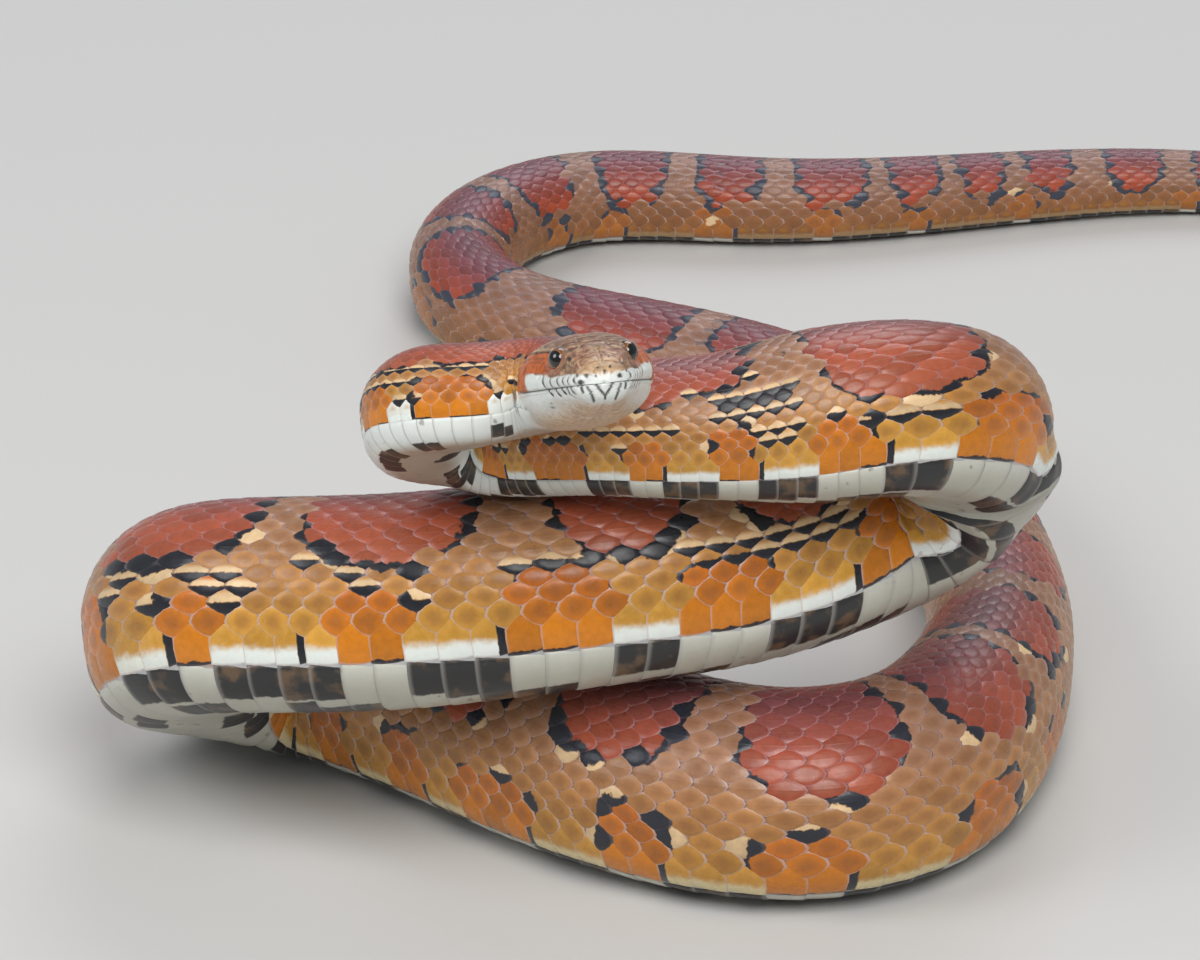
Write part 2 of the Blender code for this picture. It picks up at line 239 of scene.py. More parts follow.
@dataclass
class BodyShape:
    """The snake's outer surface by place along the body and turn round it.

    A place is in mm behind the back of the head, and the head has places down to -HEAD_LENGTH.
    A turn is in degrees from mid-back, positive on the snake's left.
    """

    eye_behind: float = 9.2
    eye_over: float = 4.0
    eye_across: float = 4.55
    eye_radius: float = 1.62
    samples: int = 6000
    # Brows, nostrils, cheeks, chin and throat: mm out, then turn and mm behind the snout, each with its spread.
    swells: Table = (
        (0.40, 40, 8, 9.2, 3.2), (0.22, 43, 8, 4.5, 2.5), (-0.42, 62, 9, 5.4, 2.0), (-0.30, 180, 5, 9.0, 5.0),
        (0.35, 68, 14, 17.5, 3.5), (-0.55, 130, 17, 11.0, 6.0),
    )

    def __post_init__(self) -> None:
        """Lays the centreline and reads its sizes."""
        table = np.array([(*row, 0.0, 0.0, 1.0)[:8] for row in ROUTE])
        table[:, :3] -= ORIGIN
        chord = np.linalg.norm(np.diff(table[:, :3], axis=0), axis=1)
        knots = np.concatenate([[0.0], np.cumsum(chord)])
        fine = np.linspace(0, knots[-1], self.samples)
        self.line = natural_spline(knots, table[:, :3], fine)
        run = np.concatenate([[0.0], np.cumsum(np.linalg.norm(np.diff(self.line, axis=0), axis=1))])
        self.run = run - np.interp(knots[HEAD_POINTS], fine, run)
        self.along = unit(np.gradient(self.line, axis=0))
        self.width = gentle(knots, table[:, 3], fine)
        self.height = gentle(knots, table[:, 4], fine)
        self.back = np.stack([gentle(knots, table[:, k], fine) for k in (5, 6, 7)], axis=1)
        self.end = float(self.run[-1])
        self.stations = np.array(HEAD_STATIONS).T

    def frames(self, place: Array) -> tuple[Array, ...]:
        """Middle, direction to the tail, back direction and left direction at each place."""
        def read(table: Array) -> Array:
            """The table's three columns at each place."""
            return np.stack([np.interp(place, self.run, table[:, k]) for k in range(3)], axis=-1)

        along = unit(read(self.along))
        past = np.minimum(place - self.run[0], 0) + np.maximum(place - self.run[-1], 0)
        middle = read(self.line) + along * past[..., None]
        back = read(self.back)
        back = unit(back - (back * along).sum(-1, keepdims=True) * along)
        return middle, along, back, np.cross(along, back)

    def half_width(self, place: Array) -> Array:
        """Half the body's width, in mm."""
        return np.interp(place, self.run, self.width)

    def half_height(self, place: Array) -> Array:
        """Half the body's height, in mm."""
        return np.interp(place, self.run, self.height)

    def section(self, place: Array, turn: Array) -> tuple[Array, Array]:
        """Across and over of the surface from the body's middle, in mm.

        Args:
            place: mm behind the back of the head.
            turn: degrees from mid-back.

        Returns:
            Distances to the snake's left and towards its back.
        """
        up, side = np.cos(np.radians(turn)), np.sin(np.radians(turn))
        share = np.clip(0.5 - 1.2 * up, 0, 1)
        power = CROWN_POWER + (BELLY_POWER - CROWN_POWER) * share**2 * (3 - 2 * share)
        reach = superellipse(up, side, power)
        across = self.half_width(place) * reach * side
        over = self.half_height(place) * reach * up
        behind = place + HEAD_LENGTH
        wide, crown, chin = (gentle(self.stations[0], row, behind) for row in self.stations[1:])
        power = np.where(up > 0, 2.4, 2.2)
        reach = superellipse(up, side, power)
        jaw = 0.05 * step(0.0, 0.1, -up) * fall(18, 31, behind)
        head_across = wide * reach * side * (1 - jaw)
        head_over = np.where(up > 0, crown, chin) * reach * up - HEAD_AXIS_DROP
        neck = step(-9.0, 4.0, place)
        return head_across + (across - head_across) * neck, head_over + (over - head_over) * neck

    def plain(self, place: Array, turn: Array) -> Array:
        """Surface points with no relief, in mm."""
        middle, _, back, left = self.frames(place)
        across, over = self.section(place, turn)
        return middle + left * across[..., None] + back * over[..., None]

    def relief(self, place: Array, turn: Array) -> Array:
        """How far the head's brows, cheeks and lips stand out from the plain loft, in mm."""
        behind, side = place + HEAD_LENGTH, np.abs(turn)
        lips = 0.16 * bump(side, 80, 6) * step(0.5, 2.5, behind) * fall(15, 20, behind)
        mouth = 0.40 * bump(side, 90, 1.9) * fall(18.5, 20.0, behind)
        return lips - mouth + sum(high * bump(side, turned, wide) * bump(behind, where, long)
                                  for high, turned, wide, where, long in self.swells)

    def eye(self, side: Side) -> Array:
        """The middle of an eye, in mm."""
        place = np.array(self.eye_behind - HEAD_LENGTH)
        middle, _, back, left = self.frames(place)
        return middle + left * side.value * self.eye_across + back * (self.eye_over - HEAD_AXIS_DROP)

    def surface(self, place: Array, turn: Array, lift: Array | float = 0.0,
                ) -> tuple[Array, Array, Array]:
        """Points on the modelled surface with their outward and tailward directions.

        Args:
            place: mm behind the back of the head.
            turn: degrees from mid-back.
            lift: mm outwards from the surface.

        Returns:
            Points in mm, unit normals and unit directions towards the tail.
        """
        place, turn = np.broadcast_arrays(np.asarray(place, float), np.asarray(turn, float))
        flow = self.plain(place + 0.15, turn) - self.plain(place - 0.15, turn)
        around = self.plain(place, turn + 1.5) - self.plain(place, turn - 1.5)
        normal = unit(np.cross(around, flow) + 1e-12)
        raised = np.asarray(lift) + self.relief(place, turn)
        points = self.plain(place, turn) + normal * raised[..., None]
        return self.socketed(points, place), normal, unit(flow)

    def socketed(self, points: Array, place: Array) -> Array:
        """Points near an eye pressed in behind it, and a low rim round it."""
        if place.min() > 0:
            return points
        for side in Side:
            eye = self.eye(side)
            left = self.frames(np.array(self.eye_behind - HEAD_LENGTH))[3] * side.value
            away = points - eye
            distance = np.linalg.norm(away, axis=-1)
            outer = step(0.0, 0.4, away @ left)
            sunk = 1.4 * fall(1.56, 1.74, distance) * outer
            rim = 0.10 * bump(distance, 1.95, 0.20) * outer
            points = points + (rim - sunk)[..., None] * left
        return points


@dataclass
class ScaleRows:
    """How the scale rows and the belly scutes divide the body."""

    shape: BodyShape
    first: float = -9.0  # the first column, on the back of the head
    measured: float = 200.0  # the place whose section gives the arc's table
    # Heights of the rows by the belly, in plain rows, and the half height of their scales.
    low_rows: tuple[float, ...] = (2.3, 1.5, 1.2)
    low_halves: tuple[float, ...] = (1.58, 1.20, 0.97)
    edge_middle: float = 1.48
    plain_half: float = 0.84
    lowered: tuple[float, float] = (245.0, 300.0)  # resting coils: the rows reach further down
    # Column spacing in mm by place.
    pitch_places: tuple[float, ...] = (
        -12, 55, 78, 95, 108, 120, 140, 165, 185, 280, 330, 440, 540, 620, 740, 800, 860, 905)
    pitches: tuple[float, ...] = (
        1.45, 1.6, 2.0, 2.5, 3.4, 4.4, 4.8, 4.6, 4.1, 4.1, 3.7, 3.7, 3.6, 3.3, 2.9, 2.5, 2.1, 1.6)
    # Rows across the back, by the place where each count starts.
    counts: tuple[tuple[float, int], ...] = (
        (-50, 27), (560, 25), (620, 23), (680, 21), (735, 19), (770, 17), (795, 15),
        (820, 13), (843, 11), (865, 9), (885, 7),
    )

    def __post_init__(self) -> None:
        """Reads the columns' places and the arc of the section."""
        fine = np.linspace(self.first, self.shape.end, 20000)
        rate = 1 / np.interp(fine, self.pitch_places, self.pitches)
        count = np.concatenate([[0], np.cumsum((rate[1:] + rate[:-1]) / 2 * np.diff(fine))])
        self.fine, self.count = fine, count
        self.columns = int(count[-1])
        turn = np.linspace(0, 180, 721)
        across, over = self.shape.section(np.full_like(turn, self.measured), turn)
        arc = np.concatenate([[0], np.cumsum(np.hypot(np.diff(across), np.diff(over)))])
        self.turn_table, self.arc_table = turn, arc
        self.radius = float(self.shape.half_width(self.measured))

    def place(self, column: Array) -> Array:
        """Mm behind the head of a column number."""
        return np.interp(column, self.count, self.fine)

    def pitch(self, place: Array) -> Array:
        """Column spacing in mm."""
        return np.interp(place, self.pitch_places, self.pitches)

    def edge(self, place: Array) -> Array:
        """Degrees from mid-back where the scale rows meet the belly scutes."""
        return BELLY_EDGE + LOW_COIL_DROP * step(*self.lowered, place)

    def edge_arc(self, place: Array) -> Array:
        """Arc from mid-back to the belly edge, in mm on the measured section."""
        return np.interp(self.edge(place), self.turn_table, self.arc_table)

    def turn(self, share: Array, place: Array) -> Array:
        """Degrees from mid-back at a share of the arc from mid-back to the belly edge."""
        return np.interp(share * self.edge_arc(place), self.arc_table, self.turn_table)

    def share(self, turn: Array, place: Array) -> Array:
        """The share of the arc from mid-back to the belly edge, 1 at the edge."""
        return np.interp(np.abs(turn), self.turn_table, self.arc_table) / self.edge_arc(place)

    def arc_mm(self, place: Array) -> Array:
        """Mm from mid-back to the belly edge at a place."""
        return self.edge_arc(place) * (self.shape.half_width(place) + self.shape.half_height(place)) / 2 / self.radius

    def layout(self, per_side: int) -> tuple[list[tuple[float, float]], float]:
        """Middle and half height of each row over the belly edge, and the whole height, in plain rows."""
        found, base = [], 0.0
        for row in range(1, per_side + 2):
            plain = row > len(self.low_rows)
            high = 1.0 if plain else self.low_rows[row - 1]
            half = self.plain_half if plain else self.low_halves[row - 1]
            found.append((self.edge_middle if row == 1 else base + high / 2, half))
            base += high
        return found, base - 0.5


@dataclass
class Markings:
    """Where the back, flanks and belly carry each mark."""

    rows: ScaleRows
    seed: int = 11
    # Start, end and half reach round the body of each saddle.
    saddles: Table = (
        (-16, 92, 55), (101, 122, 68), (133, 152, 64), (168, 188, 62), (194.5, 210, 66), (219.5, 243.5, 62),
        (250, 272, 63), (279, 298, 62), (305, 323, 60), (330, 350, 62), (356, 374.5, 56), (382, 400, 66),
        (406, 425, 62), (430, 446, 62), (453, 470, 62), (477, 493, 62), (500, 516, 62), (523, 540, 62),
        (546, 557.5, 60), (565, 586, 62), (600, 618, 66), (624, 635, 66), (641, 652.5, 80), (659.5, 671, 80),
        (677, 686.5, 76), (692.5, 703, 74), (707.5, 715, 72), (719, 726, 72), (730.5, 737.5, 78), (744, 753, 80),
    )
    blotches_left: Table = (
        (8, 17), (24, 33), (40, 48), (53, 58), (63, 71.5), (76, 81.5), (86.3, 91), (99, 107.5), (118.5, 132),
        (141, 151), (166, 177), (192, 203), (217, 228), (242, 253), (267, 278), (292, 301), (313, 321),
        (330, 338), (344, 357), (367, 375), (384, 392.5), (405, 414), (424, 434), (447, 457), (470, 480),
        (494, 504), (518, 528), (541, 550), (562, 571), (584, 592), (606, 614), (627, 633), (645, 650),
        (659, 665), (677, 682), (694, 699), (709, 713), (727, 731),
    )
    blotches_right: Table = (
        (0, 6), (22, 28.5), (31, 37), (44, 51), (58, 66), (75, 84), (93, 102), (113, 123), (135, 145),
        (160, 171), (184, 196), (205, 216), (228, 240), (252.5, 259.5), (268, 276), (285, 295), (308, 318),
        (331, 341), (355, 365), (379, 389), (403, 413), (427, 437), (451, 461), (475, 485), (499, 508),
        (523, 532), (545, 553), (566, 575), (588, 597), (608, 616), (628, 633), (648, 653), (665, 670),
        (682, 687), (697, 701), (713, 717), (731, 735),
    )
    # Black on the right of single scutes of the throat: place from and to, band from and to.
    throat_checks: Table = ((20.0, 23.0, 0.5, 0.8),)
    # Start, end and turn of rows of scales that are black below and cream above.
    streaks: Table = (
        (22, 41, -62), (27, 40, -77), (20, 39, -93), (14, 30, -106), (44, 60, -70), (2, 18, -84),
        (70, 82, 66), (87, 98, 49), (87, 98, 62), (87, 98, 76), (74, 80, 86), (88, 97, 87), (41, 60, 84),
        (105, 118, 82), (170, 187, -72), (118, 123, 97), (44, 62, 64), (82, 88, 40), (88, 93, 28),
        (238, 244, -63), (251, 259, -72), (249, 253, -80), (233, 237, -72), (227, 231, -81), (257, 261, -82),
        (263, 267, -75), (211, 216, -65), (207, 211, -72), (186, 195, -68), (352, 356, -60), (398, 404, -76),
    )
    small_spots: Table = ((88, 97, 55.5),)
    # The saddles that carry on to the tip: first start and spacing in mm, half reach, and how the spacing shrinks.
    tip: tuple[float, float] = (759.0, 14.0)
    tip_reach: float = 84.0
    tip_shrink: float = 0.955
    margin: float = 9.0  # mm round a mark where its depth is worked out
    blotch_middle: float = 0.84  # where side blotches lie, from mid-back (0) to the belly edge (1)
    blotch_half: float = 0.205  # half their height, on the same scale
    blotch_drift: float = 0.035  # how much that varies
    corner_chance: float = 0.07  # how many scales near a saddle are all black
    check_outer: tuple[float, float] = (0.66, 1.1)  # the belly's two rows of checks, from its middle to its edge
    check_inner: tuple[float, float] = (0.28, 0.60)
    check_lag: float = 0.65  # the inner row's shift towards the head, in spaces between blotches

    def __post_init__(self) -> None:
        """Carries the saddles and blotches on to the tail's tip."""
        (start, gap), more, left, right = self.tip, [], [], []
        while start < self.rows.shape.end - 6:
            more.append((start, start + gap * 0.58, self.tip_reach))
            left.append((start - gap * 0.25, start + gap * 0.1))
            right.append((start - gap * 0.2, start + gap * 0.12))
            start, gap = start + gap, gap * self.tip_shrink
        self.all_saddles = (*self.saddles, *more)
        self.sides = {Side.LEFT: (*self.blotches_left, *left), Side.RIGHT: (*self.blotches_right, *right)}

    @staticmethod
    def tail(place: Array) -> Array:
        """How far the colours have gone over to the tail's, from 0 to 1."""
        # The 0.28 share on the coils that rest on the floor turns their saddle tops to the tail's plum: partly their
        # own colour, partly painted shade and sheen.
        return 0.28 * step(240, 310, place) + 0.72 * step(470, 600, place)

    @staticmethod
    def ripple(place: Array, turn: Array) -> Array:
        """A repeatable unevenness of about 1, so that no edge is a clean curve."""
        return (np.sin(place * 0.83 + turn * 0.11) + np.sin(place * 0.37 - turn * 0.23 + 1.7)
                + np.sin(place * 1.71 + turn * 0.05 + 4.1)) / 2.2

    def saddle_depth(self, place: Array, turn: Array) -> Array:
        """Mm inside the nearest saddle's edge, negative outside it."""
        girth, share = self.rows.arc_mm(place), self.rows.share(turn, place)
        best = np.full(place.shape, NO_MARK)
        for start, end, reach in self.all_saddles:
            near = (place > start - self.margin) & (place < end + self.margin)
            half = (end - start) / 2
            tall = float(self.rows.share(np.array(reach), np.array((start + end) / 2))) * girth[near]
            along = np.abs(place[near] - (start + end) / 2) / half
            around = share[near] * girth[near] / tall
            radius = (along**3 + around**3) ** (1 / 3)
            best[near] = np.maximum(best[near], (1 - radius) * np.minimum(half, tall))
        return best + 0.45 * self.ripple(place, turn)

    def blotch_depth(self, place: Array, turn: Array) -> Array:
        """Mm inside the nearest side blotch's edge, negative outside it."""
        girth, share = self.rows.arc_mm(place), self.rows.share(turn, place)
        depth = np.full(place.shape, NO_MARK)
        for side, spans in self.sides.items():
            for index, (start, end) in enumerate(spans):
                near = (place > start - self.margin) & (place < end + self.margin) & (turn * side.value > 0)
                half = (end - start) / 2
                tall = self.blotch_half + self.blotch_drift * math.sin(index * 2.4)
                along = np.abs(place[near] - (start + end) / 2) / half
                around = np.maximum(self.blotch_middle - share[near], 0) / tall
                radius = (along**4 + around**4) ** 0.25
                inside = (1 - radius) * np.minimum(half, tall * girth[near])
                depth[near] = np.maximum(depth[near], inside)
        return depth + 0.25 * self.ripple(place * 1.3, turn)

    def body(self, place: Array, turn: Array) -> Array:
        """The marks of the skin under the scales.

        Args:
            place: mm behind the back of the head.
            turn: degrees from mid-back.

        Returns:
            Saddle, black, blotch and cream strengths, one row of four per point.
        """
        saddle, blotch = self.saddle_depth(place, turn), self.blotch_depth(place, turn)
        share = self.rows.share(turn, place)
        red = saddle > 0
        orange = (blotch > 0) & ~red
        black = (saddle > -1.0) & ~red | (blotch > -0.8) & (blotch <= 0) & (share < 0.85)
        white = (share > 0.93) & (blotch < -0.1)
        return np.stack([red, black & ~white, orange, white], axis=-1).astype(float)

    def whims(self, place: Array, turn: Array, reach: Array, rng: np.random.Generator,
              ) -> dict[str, Array]:
        """What each scale shows beside its place in a mark.

        Args:
            place: the scales' places.
            turn: the scales' turns.
            reach: degrees of half a row.
            rng: the source of chance.

        Returns:
            Widths in mm of the black round saddles and blotches and of the cream beyond them, and
            the streak: 0 none, 1 black below and cream above, 2 all black.
        """
        share, size = self.rows.share(turn, place), np.clip(self.rows.arc_mm(place) / 30.0, 0.3, 1.0)
        saddle, blotch = self.saddle_depth(place, turn), self.blotch_depth(place, turn)
        drift = 0.5 + 0.5 * np.sin(place * 0.55 + np.sign(turn) * 1.3 + 2.0 * np.sin(place * 0.13))
        chance = 0.55 * rng.uniform(0, 1, len(place)) + 0.45 * drift
        late = step(480, 600, place)
        low = step(240, 300, place)
        kept = 0.68 - 0.16 * low * step(0.3, 0.5, share) + 0.22 * late * fall(0.35, 0.55, share)
        saddle_black = np.where(chance < kept, 0.80 + 0.9 * late, 0.0) * size
        blotch_black = np.where((rng.uniform(0, 1, len(place)) < 0.5) & (share < 0.90), 0.75, 0.0) * size
        pale = rng.uniform(0, 1, len(place)) < (0.85 - 0.5 * late) * step(0.22, 0.45, share)
        inked = (saddle_black > 0) & (saddle > -1.15 * size) | (blotch_black > 0) & (blotch > -1.0 * size)
        cream = np.where(pale & inked, 1.7, 0.0) * size
        streak = np.zeros(len(place))
        for start, end, middle in self.streaks:
            hit = (place > start) & (place < end) & (np.abs(turn - middle) < reach * 1.15) & (saddle < 0.2)
            streak[hit & (blotch < 0.1)] = 1.0
        corner = (saddle < 0) & (saddle > -1.3 * size) & (share > 0.2) & (streak == 0)
        streak[corner & (rng.uniform(0, 1, len(place)) < self.corner_chance)] = 2.0
        return {"saddle_black": saddle_black, "blotch_black": blotch_black, "cream": cream, "streak": streak}

    def checks(self, place: Array, side: Side) -> Array:
        """Two bands of black on each scute: start and end of each, from mid-belly (0) to its edge (1).

        Args:
            place: the scutes' places.
            side: which half of the belly.

        Returns:
            Outer start and end, inner start and end, one row per scute.
        """
        found = np.zeros((len(place), 4))
        spans = self.sides[side]
        rng = np.random.default_rng(self.seed + side.value)
        jitter = rng.uniform(-0.05, 0.05, (len(place), 4))
        near_edge = side.value * (self.rows.edge(place) - 12.0)
        outer = (self.blotch_depth(place + 0.27, near_edge) <= 0) & (place > 45)
        found[outer, :2] = self.check_outer
        for (_, low), (high, _) in zip(spans, spans[1:]):
            shift = (high - low) * self.check_lag
            inner = (place > low - shift) & (place < high - shift)
            found[inner, 2:] = self.check_inner
        found[place < 17] = 0
        for start, end, low, high in self.throat_checks if side is Side.RIGHT else ():
            found[(place > start) & (place < end), :2] = low, high
        return np.where(found > 0, np.clip(found + jitter, 0.02, 1.15), 0.0)


def grid_faces(rows: int, columns: int, start: int = 0, wrap: bool = False) -> Array:
    """Quads of a grid, facing out where rows run tailward and columns run to the left.

    Args:
        rows: points along the body.
        columns: points round it.
        start: the first point's index.
        wrap: True joins the last column to the first.

    Returns:
        One row of four indices per quad.
    """
    i, j = np.meshgrid(np.arange(rows - 1), np.arange(columns if wrap else columns - 1), indexing="ij")
    following = (j + 1) % columns
    corners = (i * columns + j, i * columns + following, (i + 1) * columns + following, (i + 1) * columns + j)
    return np.stack([c.ravel() for c in corners], axis=1) + start


def tube_faces(rows: int, sides: int) -> list[list[int]]:
    """A grid that closes on itself with a fan at each end, whose poles are the last two points."""
    around = [(a, (a + 1) % sides) for a in range(sides)]
    pole, last = rows * sides, (rows - 1) * sides
    return (grid_faces(rows, sides, wrap=True).tolist() + [[pole, b, a] for a, b in around]
            + [[pole + 1, last + a, last + b] for a, b in around])


def new_mesh(name: str, points: Array, faces: list[list[int]]) -> types.Mesh:
    """A mesh from points in mm."""
    mesh = bpy.data.meshes.new(name)
    mesh.from_pydata((points * MM).tolist(), [], faces)
    mesh.shade_smooth()
    return mesh


def store(mesh: types.Mesh, name: str, values: Array) -> None:
    """Writes a float, vector or colour attribute on the mesh's points.

    Args:
        mesh: the mesh.
        name: the attribute's name.
        values: one row per point, of 1, 3 or 4 numbers.
    """
    kinds = {1: ("FLOAT", "value"), 3: ("FLOAT_VECTOR", "vector"), 4: ("FLOAT_COLOR", "color")}
    values = np.asarray(values, np.float32)
    kind, key = kinds[1 if values.ndim == 1 else values.shape[1]]
    attribute = mesh.attributes.new(name, kind, "POINT")
    attribute.data.foreach_set(key, values.ravel())


def read(mesh: types.Mesh, name: str, key: str, wide: int) -> Array:
    """An attribute of the mesh's points as an array."""
    values = np.zeros(len(mesh.vertices) * wide, np.float32)
    mesh.attributes[name].data.foreach_get(key, values)
    return values.reshape(-1, wide)


def unwrap(place: Array, turn: Array, strip: Array | None = None) -> Array:
    """Where a point lies on the flat chart: the body in strips, one over another.

    Args:
        place: mm behind the back of the head.
        turn: degrees from mid-back, -180 to 180.
        strip: which strip each point goes in, or None to read it from the place.

    Returns:
        One row of two numbers per point.
    """
    if strip is None:
        strip = strip_of(place)
    u = 0.01 + 0.97 * (place + HEAD_LENGTH + 1 - strip * STRIP_LENGTH) / STRIP_LENGTH
    v = (strip + 0.04 + STRIP_HEIGHT * (np.mod(turn + 180, 360) / 360)) / STRIPS
    return np.stack([u, v], axis=-1)


def strip_of(place: Array) -> Array:
    """The number of the chart's strip that a place lies in."""
    return np.clip(np.floor((place + HEAD_LENGTH + 1) / STRIP_LENGTH), 0, STRIPS - 1)


def gather(items: types.bpy_prop_collection, key: str) -> Array:
    """One whole number of every item, such as a corner's point."""
    found = np.zeros(len(items), np.int32)
    items.foreach_get(key, found)
    return found


def lay_uv(mesh: types.Mesh, chart: Array) -> None:
    """Writes the chart, one row per corner of a face, as the mesh's UV map."""
    mesh.uv_layers.new(name=UV_NAME).data.foreach_set("uv", chart.astype(np.float32).ravel())


def lay_point_uv(mesh: types.Mesh, chart: Array) -> None:
    """Writes the chart, one row per point, as the mesh's UV map."""
    lay_uv(mesh, chart[gather(mesh.loops, "vertex_index")])


def link(name: str, data: types.ID) -> types.Object:
    """A new object in the scene."""
    made = bpy.data.objects.new(name, data)
    bpy.context.scene.collection.objects.link(made)
    return made


def place_piece(name: str, mesh: types.Mesh) -> types.Object:
    """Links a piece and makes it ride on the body."""
    made = link(name, mesh)
    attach(made, "root")
    LOG.info("%s: %d faces", name, len(mesh.polygons))
    return made


def on_floor(points: Array) -> Array:
    """Points in mm with none under the floor."""
    points = points.copy()
    points[..., 2] = np.maximum(points[..., 2], 0.0)
    return points


@dataclass(frozen=True)
class Signal:
    """An output of a node, which takes part in sums as a number does."""

    wires: "Wires"
    socket: types.NodeSocket

    def __add__(self, other: object) -> "Signal":
        """The sum."""
        return self.wires.math("ADD", self, other)

    def __sub__(self, other: object) -> "Signal":
        """The difference."""
        return self.wires.math("SUBTRACT", self, other)

    def __rsub__(self, other: object) -> "Signal":
        """The difference from a plain number."""
        return self.wires.math("SUBTRACT", other, self)

    def __mul__(self, other: object) -> "Signal":
        """The product."""
        return self.wires.math("MULTIPLY", self, other)

    def __or__(self, other: object) -> "Signal":
        """The larger of the two."""
        return self.wires.math("MAXIMUM", self, other)

    def __abs__(self) -> "Signal":
        """The value without its sign."""
        return self.wires.math("ABSOLUTE", self)


@dataclass(frozen=True)
class Wires:
    """Short ways to add and join nodes in one tree."""

    tree: types.NodeTree

    def add(self, kind: str, given: dict | None = None, **values: object) -> types.Node:
        """A node with its properties set and its inputs filled, by name or number."""
        node = self.tree.nodes.new(kind)
        for key, value in values.items():
            setattr(node, key, value)
        for key, value in (given or {}).items():
            self.put(node.inputs[key], value)
        return node

    def put(self, socket: types.NodeSocket, value: object) -> None:
        """Links a signal or a node's first output, or sets a plain value."""
        if isinstance(value, Signal):
            self.tree.links.new(value.socket, socket)
        elif isinstance(value, types.Node):
            self.tree.links.new(value.outputs[0], socket)
        elif isinstance(value, tuple) and len(value) == 3 and socket.type == "RGBA":
            socket.default_value = (*value, 1.0)
        else:
            socket.default_value = value

    def out(self, node: types.Node, key: int | str = 0) -> Signal:
        """One output of a node."""
        return Signal(self, node.outputs[key])

    def outs(self, node: types.Node) -> tuple[Signal, ...]:
        """Every output of a node."""
        return tuple(Signal(self, socket) for socket in node.outputs)

    def math(self, operation: str, *values: object) -> Signal:
        """A Math node's result."""
        return self.out(self.add("ShaderNodeMath", dict(enumerate(values)), operation=operation))

    def mix(self, share: object, first: object, second: object, blend: str = "MIX") -> Signal:
        """A colour between two."""
        given = {0: share, 6: first, 7: second}
        return self.out(self.add("ShaderNodeMix", given, data_type="RGBA", blend_type=blend), 2)

    def rise(self, value: object, low: float, high: float, start: float = 0.0, end: float = 1.0) -> Signal:
        """A smooth rise from start to end as value goes from low to high."""
        given = dict(enumerate((value, low, high, start, end)))
        return self.out(self.add("ShaderNodeMapRange", given, interpolation_type="SMOOTHSTEP"))

    def ramp(self, value: object, *stops: tuple[float, Color]) -> Signal:
        """A colour ramp's result."""
        node = self.add("ShaderNodeValToRGB", {0: value})
        elements = node.color_ramp.elements
        while len(elements) < len(stops):
            elements.new(0.5)
        for element, (position, color) in zip(elements, stops):
            element.position, element.color = position, (*color, 1.0)
        return self.out(node)

    def noise(self, place: object, scale: float, detail: float = 2.0) -> Signal:
        """A noise value between 0 and 1."""
        return self.out(self.add("ShaderNodeTexNoise", {"Vector": place, "Scale": scale, "Detail": detail}))

    def attribute(self, name: str, part: str = "Color") -> Signal:
        """A mesh attribute's value."""
        return self.out(self.add("ShaderNodeAttribute", attribute_name=name), part)

    def xyz(self, name: str) -> tuple[Signal, ...]:
        """The three parts of a vector attribute."""
        return self.outs(self.add("ShaderNodeSeparateXYZ", {0: self.attribute(name, "Vector")}))

    def parts(self, color: object) -> tuple[Signal, ...]:
        """The three channels of a colour."""
        return self.outs(self.add("ShaderNodeSeparateColor", {0: color}))

    def join(self, *channels: object) -> Signal:
        """A colour from its three channels."""
        return self.out(self.add("ShaderNodeCombineColor", dict(enumerate(channels))))


def new_group(name: str, inputs: dict[str, str]) -> tuple[Wires, tuple[Signal, ...]]:
    """A shader node group with named inputs, which gives one colour.

    Args:
        name: the group's name.
        inputs: socket type of each input, by the input's name.

    Returns:
        Its wires and its inputs.
    """
    tree = bpy.data.node_groups.new(name, "ShaderNodeTree")
    for label, kind in inputs.items():
        tree.interface.new_socket(label, in_out="INPUT", socket_type=kind)
    tree.interface.new_socket("Color", in_out="OUTPUT", socket_type=COLOR)
    wires = Wires(tree)
    return wires, wires.outs(wires.add("NodeGroupInput"))


COLOR, FLOAT = "NodeSocketColor", "NodeSocketFloat"


